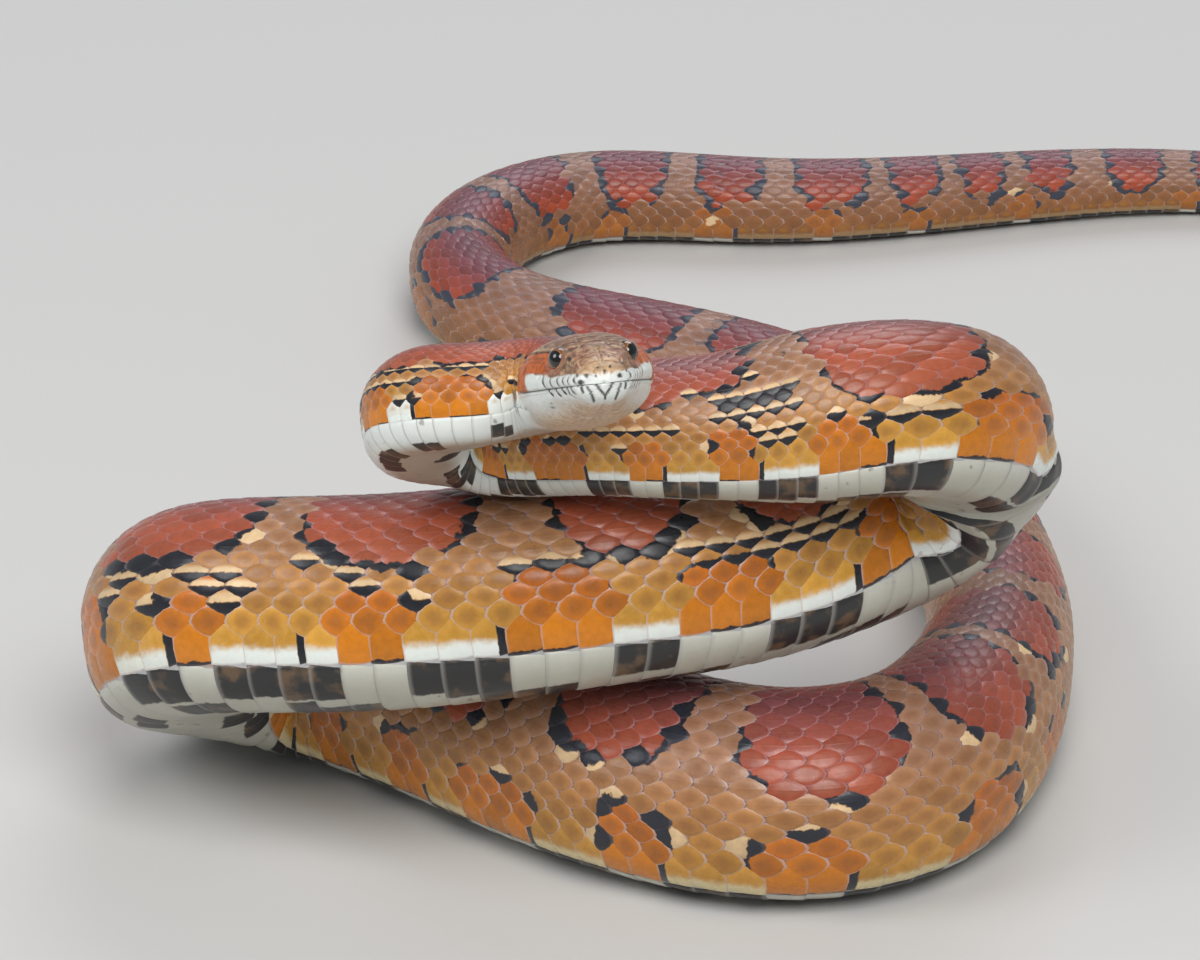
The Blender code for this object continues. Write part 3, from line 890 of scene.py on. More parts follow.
@dataclass(frozen=True)
class BodyPaint:
    """Colours of the scaled skin, as a node group that turns marks into colour."""

    back: Color = (0.285, 0.140, 0.085)
    upper_side: Color = (0.40, 0.205, 0.105)
    side: Color = (0.47, 0.215, 0.055)
    low_side: Color = (0.56, 0.275, 0.038)
    edge: Color = (0.64, 0.34, 0.065)
    # The saddles' darker plum on the mid-back: partly their own darker red, partly painted sheen and shade.
    painted_sheen_saddle_top: Color = (0.190, 0.056, 0.060)
    saddle: Color = (0.360, 0.078, 0.038)
    saddle_edge: Color = (0.375, 0.095, 0.042)
    blotch: Color = (0.49, 0.125, 0.010)
    blotch_low: Color = (0.59, 0.195, 0.008)
    cream: Color = (0.70, 0.49, 0.27)
    white: Color = (0.86, 0.90, 0.87)
    black: Color = (0.014, 0.015, 0.020)
    tail_back: Color = (0.285, 0.165, 0.130)
    tail_side: Color = (0.300, 0.120, 0.036)
    # The tail's saddle tops likewise: partly their own plum, partly painted sheen and shade.
    painted_sheen_tail_saddle_top: Color = (0.165, 0.055, 0.075)
    tail_saddle: Color = (0.360, 0.060, 0.022)
    slate: Color = (0.045, 0.050, 0.070)

    def group(self) -> types.NodeTree:
        """Builds the group: marks and place in, colour out."""
        inputs = {"Marks": COLOR, "Cream": FLOAT, "Place": COLOR, "Grain": FLOAT}
        w, (marks, cream, place, grain, *_) = new_group("snake_body_paint", inputs)
        saddle, black, blotch = w.parts(marks)
        share, tint, tail = w.parts(place)
        ground = w.ramp(share, (0.0, self.back), (0.40, self.upper_side), (0.62, self.side),
                        (0.84, self.low_side), (0.99, self.edge))
        ground = w.mix(tail, ground, w.ramp(share, (0.2, self.tail_back), (0.8, self.tail_side)))
        # Saddles run from the mid-back's plum, partly painted sheen and shade, to brick red on the flanks.
        red = w.ramp(share, (0.0, self.painted_sheen_saddle_top), (0.30, self.saddle), (0.60, self.saddle_edge))
        red = w.mix(tail, red, w.ramp(share, (0.1, self.painted_sheen_tail_saddle_top), (0.5, self.tail_saddle)))
        orange = w.mix(tail * 0.6, w.ramp(share, (0.62, self.blotch), (0.95, self.blotch_low)), self.tail_side)
        color = w.mix(blotch, w.mix(saddle, ground, red), orange)
        color = w.mix(cream, color, w.ramp(share, (0.90, self.cream), (0.96, self.white)))
        shade = w.rise(tint, 0.0, 1.0, 0.86, 1.14) + w.rise(grain, 0.3, 0.7, -0.07, 0.07)
        color = w.mix(1.0, color, shade, "MULTIPLY")
        w.add("NodeGroupOutput", {0: w.mix(black, color, w.mix(tail, self.black, self.slate))})
        return w.tree


@dataclass(frozen=True)
class HeadPaint:
    """Colours of the head, as a node group that turns marks into colour."""

    crown: Color = (0.265, 0.105, 0.062)
    tan: Color = (0.55, 0.37, 0.21)
    orange: Color = (0.52, 0.125, 0.030)
    white: Color = (0.72, 0.75, 0.71)
    dark: Color = (0.018, 0.014, 0.012)

    def group(self) -> types.NodeTree:
        """Builds the group: marks in, colour out."""
        w, (marks, white, grain, *_) = new_group("snake_head_paint", {"Marks": COLOR, "White": FLOAT, "Grain": FLOAT})
        tan, dark, orange = w.parts(marks)
        color = w.mix(orange, w.mix(tan, self.crown, self.tan), self.orange)
        color = w.mix(white, color, self.white)
        shade = w.rise(grain, 0.3, 0.7, 0.70, 1.26)
        color = w.mix(w.rise(white, 0.0, 1.0, 1.0, 0.22), color, shade, "MULTIPLY")
        w.add("NodeGroupOutput", {0: w.mix(dark, color, self.dark)})
        return w.tree


@dataclass(frozen=True)
class Finish:
    """What every snake material shares: gloss, fine bump and the painted groups."""

    paint: types.NodeTree
    head_paint: types.NodeTree
    roughness: float = 0.36
    coat: float = 0.18
    coat_roughness: float = 0.22
    specular: float = 0.36
    fine_bump: float = 0.00006  # in metres
    scute_bump: float = 0.00008

    def start(self, name: str) -> tuple[types.Material, Wires, types.Node, Signal]:
        """A material with its Principled shader's plain values set.

        Args:
            name: the material's name.

        Returns:
            The material, its wires, its shader node and the object coordinates.
        """
        made = bpy.data.materials.new(name)
        made.use_nodes = True
        w = Wires(made.node_tree)
        shader = made.node_tree.nodes["Principled BSDF"]
        for label, value in (("Roughness", self.roughness), ("Coat Weight", self.coat),
                             ("Coat Roughness", self.coat_roughness), ("Specular IOR Level", self.specular)):
            shader.inputs[label].default_value = value
        return made, w, shader, w.out(w.add("ShaderNodeTexCoord"), "Object")

    def finish(self, w: Wires, shader: types.Node, color: object, height: object,
               depth: float, strength: float = 0.5) -> None:
        """Joins colour and bump to the shader."""
        w.put(shader.inputs["Base Color"], color)
        bump_node = w.add("ShaderNodeBump", {"Strength": strength, "Distance": depth, "Height": height})
        w.put(shader.inputs["Normal"], bump_node)

    def gloss(self, w: Wires, shader: types.Node, noise: Signal, low: float, high: float) -> None:
        """Lets the roughness drift from low to high over the surface."""
        w.put(shader.inputs["Roughness"], w.rise(noise, 0.3, 0.7, low, high))

    def body_color(self, w: Wires, marks: object, cream: object, place: object, where: object) -> Signal:
        """The body paint group placed in a material."""
        given = {"Marks": marks, "Cream": cream, "Place": place, "Grain": w.noise(where, 900.0)}
        return w.out(w.add("ShaderNodeGroup", given, node_tree=self.paint))

    def head_color(self, w: Wires, where: object) -> Signal:
        """The head paint group placed in a material."""
        given = {"Marks": w.attribute("marks"), "White": w.attribute("marks", "Alpha"),
                 "Grain": w.noise(where, 1500.0, 3.0)}
        return w.out(w.add("ShaderNodeGroup", given, node_tree=self.head_paint))

    def skin(self) -> types.Material:
        """The soft skin under the scales: the scales' colours, darker and greyer."""
        made, w, shader, where = self.start("corn_snake_skin")
        body = self.body_color(w, w.attribute("marks"), w.attribute("marks", "Alpha"), w.attribute("place"), where)
        body = w.mix(0.6, body, (0.16, 0.13, 0.15))
        face = w.mix(0.35, self.head_color(w, where), (0.10, 0.075, 0.06))
        color = w.mix(w.attribute("head", "Fac"), body, face)
        self.finish(w, shader, color, w.noise(where, 3000.0), self.fine_bump)
        return made

    def scales(self) -> types.Material:
        """The back's scales: two-tone where a mark's edge crosses them, with fine pale rims, partly pale skin and
        partly painted sheen, and a weak keel.
        """
        made, w, shader, where = self.start("corn_snake_scales")
        place = w.attribute("place")
        share, _, tail = w.parts(place)
        length, height, radius = w.xyz("local")
        red, saddle, saddle_black = w.xyz("saddle")
        orange, blotch, blotch_black = w.xyz("blotch")
        cream_wide, streak, _ = w.xyz("whims")
        wobble = (w.noise(where, 900.0, 3.0) - 0.5) * 0.7

        def over(value: Signal, level: float) -> Signal:
            """1 where the value is over the level, with a fine soft edge."""
            return w.rise(value - level, -0.07, 0.07)

        def outline(inside: Signal, depth: Signal, wide: Signal) -> tuple[Signal, Signal]:
            """Black and cream along one mark's edge."""
            depth = depth + wobble
            drawn = over(wide, 0.2)
            outer, inner = (1.0 - inside) * over(depth + wide, 0.0), inside * (1.0 - over(depth, 0.05))
            beyond = over(depth + wide + cream_wide, 0.0)
            return drawn * (outer | inner), beyond * (1.0 - inside) * drawn * over(cream_wide, 0.2)

        dark_saddle, pale_saddle = outline(red, saddle, saddle_black)
        dark_blotch, pale_blotch = outline(orange, blotch, blotch_black)
        line = height + wobble * 0.5
        streaked, upper = over(streak, 0.5), over(line, -0.02)
        below, above = streaked * (1.0 - upper), streaked * upper * w.rise(line, 0.85, 0.30)
        black = (dark_saddle | dark_blotch) | (below | over(streak, 1.5))
        cream = (pale_saddle | pale_blotch | above) * (1.0 - (black | red))
        color = self.body_color(w, w.join(red, black, orange * (1.0 - red)), cream, place, where)
        # Rims: partly the pale lilac skin at each scale's edge, partly painted sheen on the raised edges; on saddle
        # scales the painted sheen is plum-grey.
        rim = w.rise(radius, 0.80, 0.92) * w.rise(length, -0.6, 0.1) * w.rise(black, 0.0, 1.0, 0.78, 0.12)
        rim_skin_and_painted_sheen = w.ramp(share, (0.25, (0.38, 0.26, 0.25)), (0.65, (0.45, 0.31, 0.29)), (0.92, (0.60, 0.46, 0.38)))
        rim_skin_and_painted_sheen = w.mix(cream, rim_skin_and_painted_sheen, (0.36, 0.22, 0.15))
        color = w.mix(rim, color, w.mix(red, rim_skin_and_painted_sheen, (0.42, 0.19, 0.18)))
        seam = w.rise(radius, 0.925, 0.975) * w.rise(share, 0.80, 0.45, 0.12, 0.80)
        color = w.mix(seam * w.rise(tail, 0.0, 0.28, 0.55, 1.0), color, (0.085, 0.045, 0.055))
        core = w.rise(radius, 0.75, 0.15) * w.rise(red, 0.0, 1.0, 0.45, 0.15) * (1.0 - (black | cream))
        color = w.mix(core, color, (0.22, 0.085, 0.03))
        keel = w.rise(abs(height), 0.14, 0.0) * w.rise(share, 0.75, 0.35)
        given = {"Vector": w.attribute("local", "Vector"), "Scale": 3.5, "Distortion": 2.5}
        lines = w.out(w.add("ShaderNodeTexWave", given, wave_type="BANDS", bands_direction="Y"), "Fac")
        relief = keel * 0.7 + lines * 0.10 + w.noise(where, 2600.0, 3.0) * 0.45
        self.finish(w, shader, color, relief, self.fine_bump)
        self.gloss(w, shader, w.noise(where, 700.0), 0.26, 0.42)
        return made

    def edge_scales(self) -> types.Material:
        """The row by the belly: white feet under ochre, or orange with a thin black foot in the blotches."""
        made, w, shader, where = self.start("corn_snake_edge_scales")
        place = w.attribute("place")
        tail = w.parts(place)[2]
        length, height, radius = w.xyz("local")
        orange, foot, bar = w.xyz("blotch")
        plain_white = w.xyz("whims")[2]
        wobble = (w.noise(where, 800.0, 3.0) - 0.5) * 0.5
        white = (w.rise(height + wobble, 0.05, -0.45) | plain_white) * (1.0 - orange)
        sole = w.rise(height + wobble * 0.8, -0.76, -0.84) * foot
        upright = w.rise(length + wobble * 0.4, -0.36, -0.44) * bar * w.rise(height, 0.62, 0.50)
        black = sole * orange | upright
        color = self.body_color(w, w.join(0.0, black, orange), 0.0, place, where)
        milk = w.mix(w.rise(tail, 0.0, 0.28), (0.78, 0.82, 0.77), (0.72, 0.60, 0.33))
        milk = w.mix(w.rise(tail, 0.28, 1.0, 0.0, 0.8), milk, (0.34, 0.17, 0.06))
        color = w.mix(white * (1.0 - black), color, milk)
        stain = w.rise(radius, 0.7, 0.1) * w.rise(height, -0.1, 0.3) * (1.0 - (black | orange))
        color = w.mix(stain * 0.55, color, (0.48, 0.22, 0.018))
        # Rims: partly the pale lilac skin at each scale's edge, partly painted sheen on the raised edges.
        rim = w.rise(radius, 0.86, 0.97) * w.rise(black, 0.0, 1.0, 0.55, 0.10)
        color = w.mix(rim, color, (0.52, 0.40, 0.38))
        relief = w.noise(where, 2400.0, 3.0) * 0.4 + w.rise(w.noise(where, 600.0), 0.3, 0.7) * 0.5
        self.finish(w, shader, color, relief, self.fine_bump)
        self.gloss(w, shader, w.noise(where, 700.0), 0.22, 0.38)
        return made

    def scutes(self) -> types.Material:
        """The belly scutes: grey-white with black checks and brown stains."""
        made, w, shader, where = self.start("corn_snake_scutes")
        length, across, throat = w.xyz("local")
        side = w.rise(across, -0.001, 0.001)
        a0, a1, b0 = w.parts(w.mix(side, w.attribute("checks_right"), w.attribute("checks_left")))
        b1 = w.mix(side, w.attribute("checks_right", "Alpha"), w.attribute("checks_left", "Alpha"))
        reach = abs(across) + (w.noise(where, 700.0) - 0.5) * 0.06

        def band(low: Signal, high: Signal) -> Signal:
            """Strength of the black between two places across the scute."""
            return w.rise(reach - low, -0.012, 0.012) * w.rise(high - reach, -0.012, 0.012) * w.rise(high, 0.0, 0.05)

        black = (band(a0, a1) | band(b0, b1)) * w.rise(length, -0.75, -0.6)
        stain = w.rise(w.noise(where, 260.0, 4.0), 0.50, 0.66) * 0.55
        base = w.mix(w.noise(where, 120.0, 4.0), (0.38, 0.37, 0.30), (0.53, 0.52, 0.44))
        base = w.mix(w.rise(reach, 0.75, 1.0, 0.0, 0.45), base, (0.66, 0.67, 0.61))
        # At the throat the scutes are white towards their edges and tan-grey towards the mid-belly, which is painted
        # shade.
        base = w.mix(throat, base, w.mix(w.rise(reach, 0.35, 0.70), (0.40, 0.33, 0.26), (0.74, 0.77, 0.73)))
        color = w.mix(black, base, w.mix(stain, (0.026, 0.026, 0.026), (0.20, 0.12, 0.06)))
        fleck = w.rise(w.noise(where, 420.0, 3.0), 0.66, 0.74) * 0.6
        color = w.mix(fleck, color, (0.10, 0.075, 0.05))
        color = w.mix(w.rise(length, 0.70, 1.0, 0.0, 0.5), color, (0.36, 0.34, 0.31))
        self.finish(w, shader, color, w.noise(where, 900.0, 3.0), self.scute_bump)
        return made

    def head(self, name: str) -> types.Material:
        """The head's shields."""
        made, w, shader, where = self.start(name)
        self.finish(w, shader, self.head_color(w, where), w.noise(where, 2600.0, 4.0), self.fine_bump, 0.7)
        self.gloss(w, shader, w.noise(where, 900.0), 0.30, 0.46)
        return made

    def eye(self) -> types.Material:
        """The eye: a round black pupil, a rust iris with a gold inner ring, under a clear glossy scale."""
        made, w, shader, where = self.start("corn_snake_eye")
        angle = w.attribute("gaze", "Fac")
        iris = w.mix(w.noise(where, 6000.0, 3.0), (0.12, 0.034, 0.010), (0.24, 0.085, 0.022))
        ring = w.rise(angle, 45.0, 47.5) * w.rise(angle, 53.0, 49.0)
        iris = w.mix(ring * 0.6, iris, (0.38, 0.19, 0.06))
        iris = w.mix(w.rise(angle, 60.0, 74.0), iris, (0.02, 0.013, 0.010))
        color = w.mix(w.rise(angle, 44.5, 46.5), (0.002, 0.002, 0.002), iris)
        for label, value in (("Base Color", color), ("Roughness", 0.06), ("Coat Weight", 1.0),
                             ("Coat Roughness", 0.03)):
            w.put(shader.inputs[label], value)
        return made


@dataclass
class HeadMarks:
    """Where the head's shields meet and what colour each part has."""

    shape: BodyShape
    # Seams between shields on the left half: points of mm behind the snout and degrees from mid-crown.
    crown_seams: tuple[Table, ...] = (
        ((1.1, 0), (3.3, 0)), ((3.3, 0), (6.7, 0)), ((12.9, 0), (20.6, 0)),
        ((1.1, 0), (1.0, 24), (1.2, 44), (1.6, 60)),
        ((3.3, 0), (3.1, 20), (2.9, 34), (2.9, 50)),
        ((1.2, 44), (2.9, 40)), ((6.7, 0), (6.4, 22), (6.3, 36), (6.5, 50)),
        ((6.4, 22), (9.0, 19), (11.8, 17), (12.9, 0)), ((11.8, 17), (12.2, 30), (12.4, 42)),
        ((12.4, 42), (15.0, 41), (18.0, 38), (20.6, 26), (21.2, 12), (20.6, 0)),
        ((6.4, 36), (7.4, 37), (9.2, 36), (11.2, 38), (12.4, 42)),
        ((6.5, 50), (6.2, 60), (6.4, 70)), ((4.6, 52), (4.7, 68)), ((2.9, 50), (4.6, 52), (6.5, 50)),
        ((1.6, 60), (3.0, 66), (4.7, 68), (6.4, 70), (7.6, 74)), ((2.9, 50), (3.0, 66)),
        ((11.0, 50), (12.9, 50)), ((10.9, 66), (12.9, 66), (12.6, 50), (12.4, 42)),
        ((12.9, 66), (13.4, 74)), ((12.7, 57), (16.6, 56)), ((16.6, 44), (16.6, 56), (17.2, 72)),
        ((16.6, 56), (20.6, 56)), ((20.4, 40), (20.6, 56), (21.0, 72)),
    )
    lip_seams: tuple[float, ...] = (1.2, 3.0, 4.8, 6.6, 9.0, 11.6)
    # Mm behind the snout and last turn of each seam between lower lip shields.
    jaw_seams: Table = ((3.2, 113), (4.6, 121), (6.4, 104), (8.5, 106), (11.2, 101))
    chin_seams: tuple[Table, ...] = (
        ((3.0, 180), (14.0, 180)), ((3.4, 150), (3.6, 124)), ((7.6, 180), (7.4, 150), (7.7, 122)),
        ((12.4, 180), (11.6, 158), (9.8, 130)),
    )
    # Seams round the mental shield: mm across and over the mouth line, from end to end, seen from the front.
    mental_seams: Table = (
        (1.2, -0.08, 0.05, -1.55), (0.0, -1.55, 0.0, -2.0), (2.25, -0.25, 1.45, -2.15), (3.0, -0.2, 2.85, -0.9),
    )
    # Dark spots of the snout: mm across and over the mouth line, and size.
    snout_spots: Table = (
        (-2.2, 1.25, 0.28), (-3.0, 0.45, 0.36), (-1.0, 1.05, 0.16), (0.2, 1.6, 0.22), (-0.6, 2.15, 0.18),
        (1.05, 2.15, 0.20), (2.2, 0.85, 0.34), (2.9, 2.5, 0.22), (-3.6, 3.6, 0.25), (1.2, 3.5, 0.16),
    )
    # Dark spots on the right of the throat: mm behind the snout, turn and size.
    throat_spots: Table = ((13.6, -124, 0.45), (12.6, -115, 0.30))
    # Rings of fine dark lines over the crown, in mm round its back.
    crown_rings: tuple[float, ...] = (2.2, 3.3, 4.3, 5.4, 6.5, 7.6, 8.8, 10.0)

    def lip_border(self, behind: Array) -> Array:
        """Degrees from mid-crown where the upper lip's shields end."""
        return np.interp(behind, (-0.3, -0.15, 0, 0.7, 1.6, 4.7, 7.6, 9.2, 11, 13.4, 17.2, 21),
                         (0, 28, 52, 60, 63, 68, 74, 76, 74, 72, 71, 74))

    def seam_points(self, seams: list[Array] | tuple[Table, ...]) -> Array:
        """Close points along seams on both halves, in mm on the surface."""
        found = []
        for seam in seams:
            marks = np.array(seam, float)
            reach = np.concatenate([[0], np.cumsum(np.abs(np.diff(marks, axis=0)) @ (1.0, 0.1))])
            fine = np.arange(0, reach[-1] + 0.04, 0.08)
            behind, turn = (np.interp(fine, reach, marks[:, k]) for k in (0, 1))
            for side in Side:
                found.append(self.shape.surface(behind - HEAD_LENGTH, turn * side.value)[0])
        return np.concatenate(found)

    def labial_seams(self) -> Array:
        """Points along the seams between lip shields of both jaws."""
        k = np.arange(7)
        curve = np.sin(k * math.pi / 6)
        upper = [(place + 0.30 * curve + 0.09 * (6 - k), top + (89 - top) * k / 6)
                 for place, top in zip(self.lip_seams, self.lip_border(self.lip_seams))]
        lower = [(place + 0.25 * curve - 0.13 * k, 91 + (foot - 91) * k / 6) for place, foot in self.jaw_seams]
        return self.seam_points([np.stack(seam, axis=1) for seam in (*upper, *lower)])

    def mental(self, place: Array, turn: Array) -> Array:
        """Mm from each point to the nearest seam round the mental shield, seen from the front."""
        across, over = self.shape.section(place, turn)
        across, over = np.abs(across), over + HEAD_AXIS_DROP
        found = np.full(place.shape, NO_SEAM)
        for x0, y0, x1, y1 in self.mental_seams:
            share = ((across - x0) * (x1 - x0) + (over - y0) * (y1 - y0)) / ((x1 - x0) ** 2 + (y1 - y0) ** 2)
            share = np.clip(share, 0, 1)
            found = np.minimum(found, np.hypot(across - x0 - share * (x1 - x0), over - y0 - share * (y1 - y0)))
        return np.where((place + HEAD_LENGTH < 5.5) & (over < 0), found, NO_SEAM)

    @staticmethod
    def nostril(behind: Array, turn: Array, size: float) -> Array:
        """A bell round each nostril."""
        return bump(np.hypot(behind - 1.5, (np.abs(turn) - 64) * 0.075), 0, size)

    @staticmethod
    def nearest(points: Array, seams: Array) -> Array:
        """Mm from each point to the nearest seam point."""
        found = []
        for start in range(0, len(points), CHUNK):
            part = points[start:start + CHUNK]
            square = (part**2).sum(1)[:, None] + (seams**2).sum(1)[None] - 2 * part @ seams.T
            found.append(np.sqrt(np.maximum(square.min(1), 0)))
        return np.concatenate(found)

    def paint(self, place: Array, turn: Array, seam: Array, lip_seam: Array) -> Array:
        """The marks of the head.

        Args:
            place: mm behind the back of the head.
            turn: degrees from mid-crown.
            seam: mm to the nearest seam between crown or chin shields.
            lip_seam: mm to the nearest seam between lip shields.

        Returns:
            Tan, dark, orange and white strengths, one row of four per point.
        """
        behind, side = place + HEAD_LENGTH, np.abs(turn)
        across, over = self.shape.section(place, turn)
        over = over + HEAD_AXIS_DROP
        ripple = np.sin(behind * 3.1 + turn * 0.19) + np.sin(behind * 1.7 - turn * 0.33 + 2.0)
        border = self.lip_border(behind)
        below = step(-1.4, 1.0, side - border + 0.5 * ripple)
        below = np.maximum(below, fall(0.9, 1.6, over + 0.12 * ripple) * fall(2.4, 3.6, behind))
        front = 0.85 * fall(1.2, 3.4, behind + side * 0.012)
        tan = np.maximum.reduce([
            np.clip(front + 0.55 * bump(side, 57, 8) * bump(behind, 5.0, 2.4), 0, 1),
            0.95 * bump(side, 42.8, 3.6) * step(10.6, 12.0, behind) * fall(21, 24, behind),
            0.16 + 0.13 * ripple + 0.40 * bump(seam, 0.0, 0.20),
            0.70 * bump(side, 0, 16) * bump(behind, 5.0, 2.2),
        ])
        patch = step(45.5, 48.5, side) * fall(-1.5, 0.5, side - border - 0.7 * ripple) * step(10.6, 11.4, behind)
        corner = step(16.3, 16.9, behind + 0.1 * ripple) * step(60, 64, side) * fall(88, 91, side)
        orange = np.maximum(patch, corner) * fall(30, 34, behind)
        orange = np.maximum(orange, 0.55 * bump(side, 66, 6) * bump(behind, 10.2, 1.2))
        below = below * (1 - corner)
        dark = 0.92 * bump(side, 47.0, 1.6) * step(10.8, 11.6, behind) * fall(22, 24, behind)
        ring = np.hypot(behind - 16.5, side * 0.115) + 0.14 * ripple
        for radius in self.crown_rings:
            strength = 0.62 + 0.22 * math.sin(radius * 5.1)
            dark = np.maximum(dark, strength * bump(ring, radius, 0.20) * (side < 42))
            tan = np.maximum(tan, 0.55 * bump(ring, radius + 0.42, 0.16) * (side < 42))
        for spot_across, spot_over, size in self.snout_spots:
            away = np.hypot(across - spot_across, over - spot_over)
            dark = np.maximum(dark, 0.95 * fall(size * 0.7, size * 1.35, away) * (behind < 6))
        swirl = np.sin(across * 3.4 + over * 1.3 + 0.6 * ripple) + np.sin(over * 4.3 - across * 1.5 + behind * 1.1)
        snout = step(2.6, 4.0, behind) * fall(8.5, 11.0, behind) * (side < border)
        dark = np.maximum(dark, 0.55 * step(0.9, 1.5, swirl) * snout)
        tan = np.maximum(tan, 0.75 * step(0.8, 1.5, -swirl) * snout)
        dark = np.maximum(dark, 0.40 * bump(seam, 0.3, 0.12) * (side < border))
        dark = dark * (1 - 0.85 * below * (behind > 6))
        middle = np.where(side < 90, (border + 89) / 2, 97.0)
        line = fall(0.14, 0.30, lip_seam) * step(border - 2.5, border + 0.5, side)
        line *= 0.25 + 0.75 * np.where(side < 90, bump(side, middle, 7.0), fall(104, 118, side))
        mental = fall(0.11, 0.23, self.mental(place, turn))
        mouth = 0.85 * bump(side, 90, 1.0) * fall(18.5, 20, behind)
        # The nostrils are painted dark: painted shade inside the pits.
        nostril_painted_shade = self.nostril(behind, turn, 0.28)
        dark = np.maximum.reduce([dark, 0.97 * line, 0.9 * mental, mouth, nostril_painted_shade])
        throat = sum(bump(np.hypot(behind - where, (turn - middle) * 0.14), 0, size)
                     for where, middle, size in self.throat_spots)
        dark = np.clip(np.maximum(dark, 0.8 * throat), 0, 1)
        # Under the chin the white gives way to tan: partly the chin's own tan, partly painted shade.
        chin_tan_and_painted_shade = 0.78 * step(114, 152, side) * step(0.8, 5.0, behind)
        tan = np.maximum(tan, 0.85 * step(106, 126, side))
        white = below * (1 - chin_tan_and_painted_shade)
        return np.stack([tan, dark, orange * (1 - below), white], axis=-1)


@dataclass
class Skin:
    """One closed skin over head, jaw, neck, trunk and tail, inside the scales by their depth."""

    shape: BodyShape
    rows: ScaleRows
    markings: Markings
    head: HeadMarks
    depth: float = 0.30  # mm under the outer surface
    head_depth: float = 0.16
    most_depth: float = 0.12  # as a share of the body's half width
    floor_gap: float = 0.12  # mm that it stays over the floor
    head_end: float = -7.0  # the place where the head's marks end
    sides: int = 96
    head_step: float = 0.32
    body_step: float = 1.5

    def build(self, finish: Finish) -> types.Object:
        """Makes the skin and dresses it."""
        places = np.concatenate([
            -HEAD_LENGTH + np.array((-0.24, -0.12, 0.0, 0.12)), np.arange(-HEAD_LENGTH + 0.3, 0, self.head_step),
            np.arange(0.2, self.shape.end, self.body_step), [self.shape.end]])
        turns = np.arange(self.sides) * 360 / self.sides - 180
        place, turn = np.meshgrid(places, turns, indexing="ij")
        size = self.shape.half_width(place)
        depth = np.where(place < 0, self.head_depth + (self.depth - self.head_depth) * step(-10, 0, place), self.depth)
        depth = np.minimum(depth, size * self.most_depth)
        points = self.shape.surface(place, turn, -depth)[0]
        points[..., 2] = np.maximum(points[..., 2], self.floor_gap)
        points = np.concatenate([points.reshape(-1, 3), [points[0].mean(0), points[-1].mean(0)]])
        mesh = new_mesh("skin", points, tube_faces(len(places), self.sides))
        place = np.append(place.ravel(), [places[0], places[-1]])
        turn = np.append(turn.ravel(), [0.0, 0.0])
        self.dress(mesh, place, turn, points)
        mesh.materials.append(finish.skin())
        made = place_piece("skin", mesh)
        flesh = [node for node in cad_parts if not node.startswith("eye_")]
        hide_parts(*flesh)
        return made

    def dress(self, mesh: types.Mesh, place: Array, turn: Array, points: Array) -> None:
        """Writes the skin's marks and its chart."""
        marks = self.markings.body(place, turn)
        marks[np.abs(turn) > self.rows.edge(place)] = 0, 0, 0, 1
        head = place < self.head_end
        seams = self.head.seam_points((*self.head.crown_seams, *self.head.chin_seams))
        near = [self.head.nearest(points[head], seam) for seam in (seams, self.head.labial_seams())]
        marks[head] = self.head.paint(place[head], turn[head], *near)
        store(mesh, "marks", marks)
        share = np.clip(self.rows.share(turn, place), 0, 1)
        store(mesh, "place", np.stack([share, np.full_like(share, 0.5), self.markings.tail(place), share], axis=1))
        store(mesh, "head", head.astype(float))
        loops, starts = gather(mesh.loops, "vertex_index"), gather(mesh.polygons, "loop_start")
        owner = np.repeat(np.arange(len(starts)), gather(mesh.polygons, "loop_total"))
        low, turned = np.minimum.reduceat(place[loops], starts)[owner], turn[loops]
        wide = np.maximum.reduceat(turned, starts) - np.minimum.reduceat(turned, starts)
        # A face that crosses the belly's middle is drawn out to the strip's end, not back across it.
        turned = np.where((wide[owner] > 180) & (turned < 0), 359.9, turned)
        lay_uv(mesh, unwrap(place[loops], np.minimum(turned, 179.9), strip_of(low)))


class Template(enum.Enum):
    """The two outlines of a back scale."""

    PLAIN = "plain"
    EDGE = "edge"


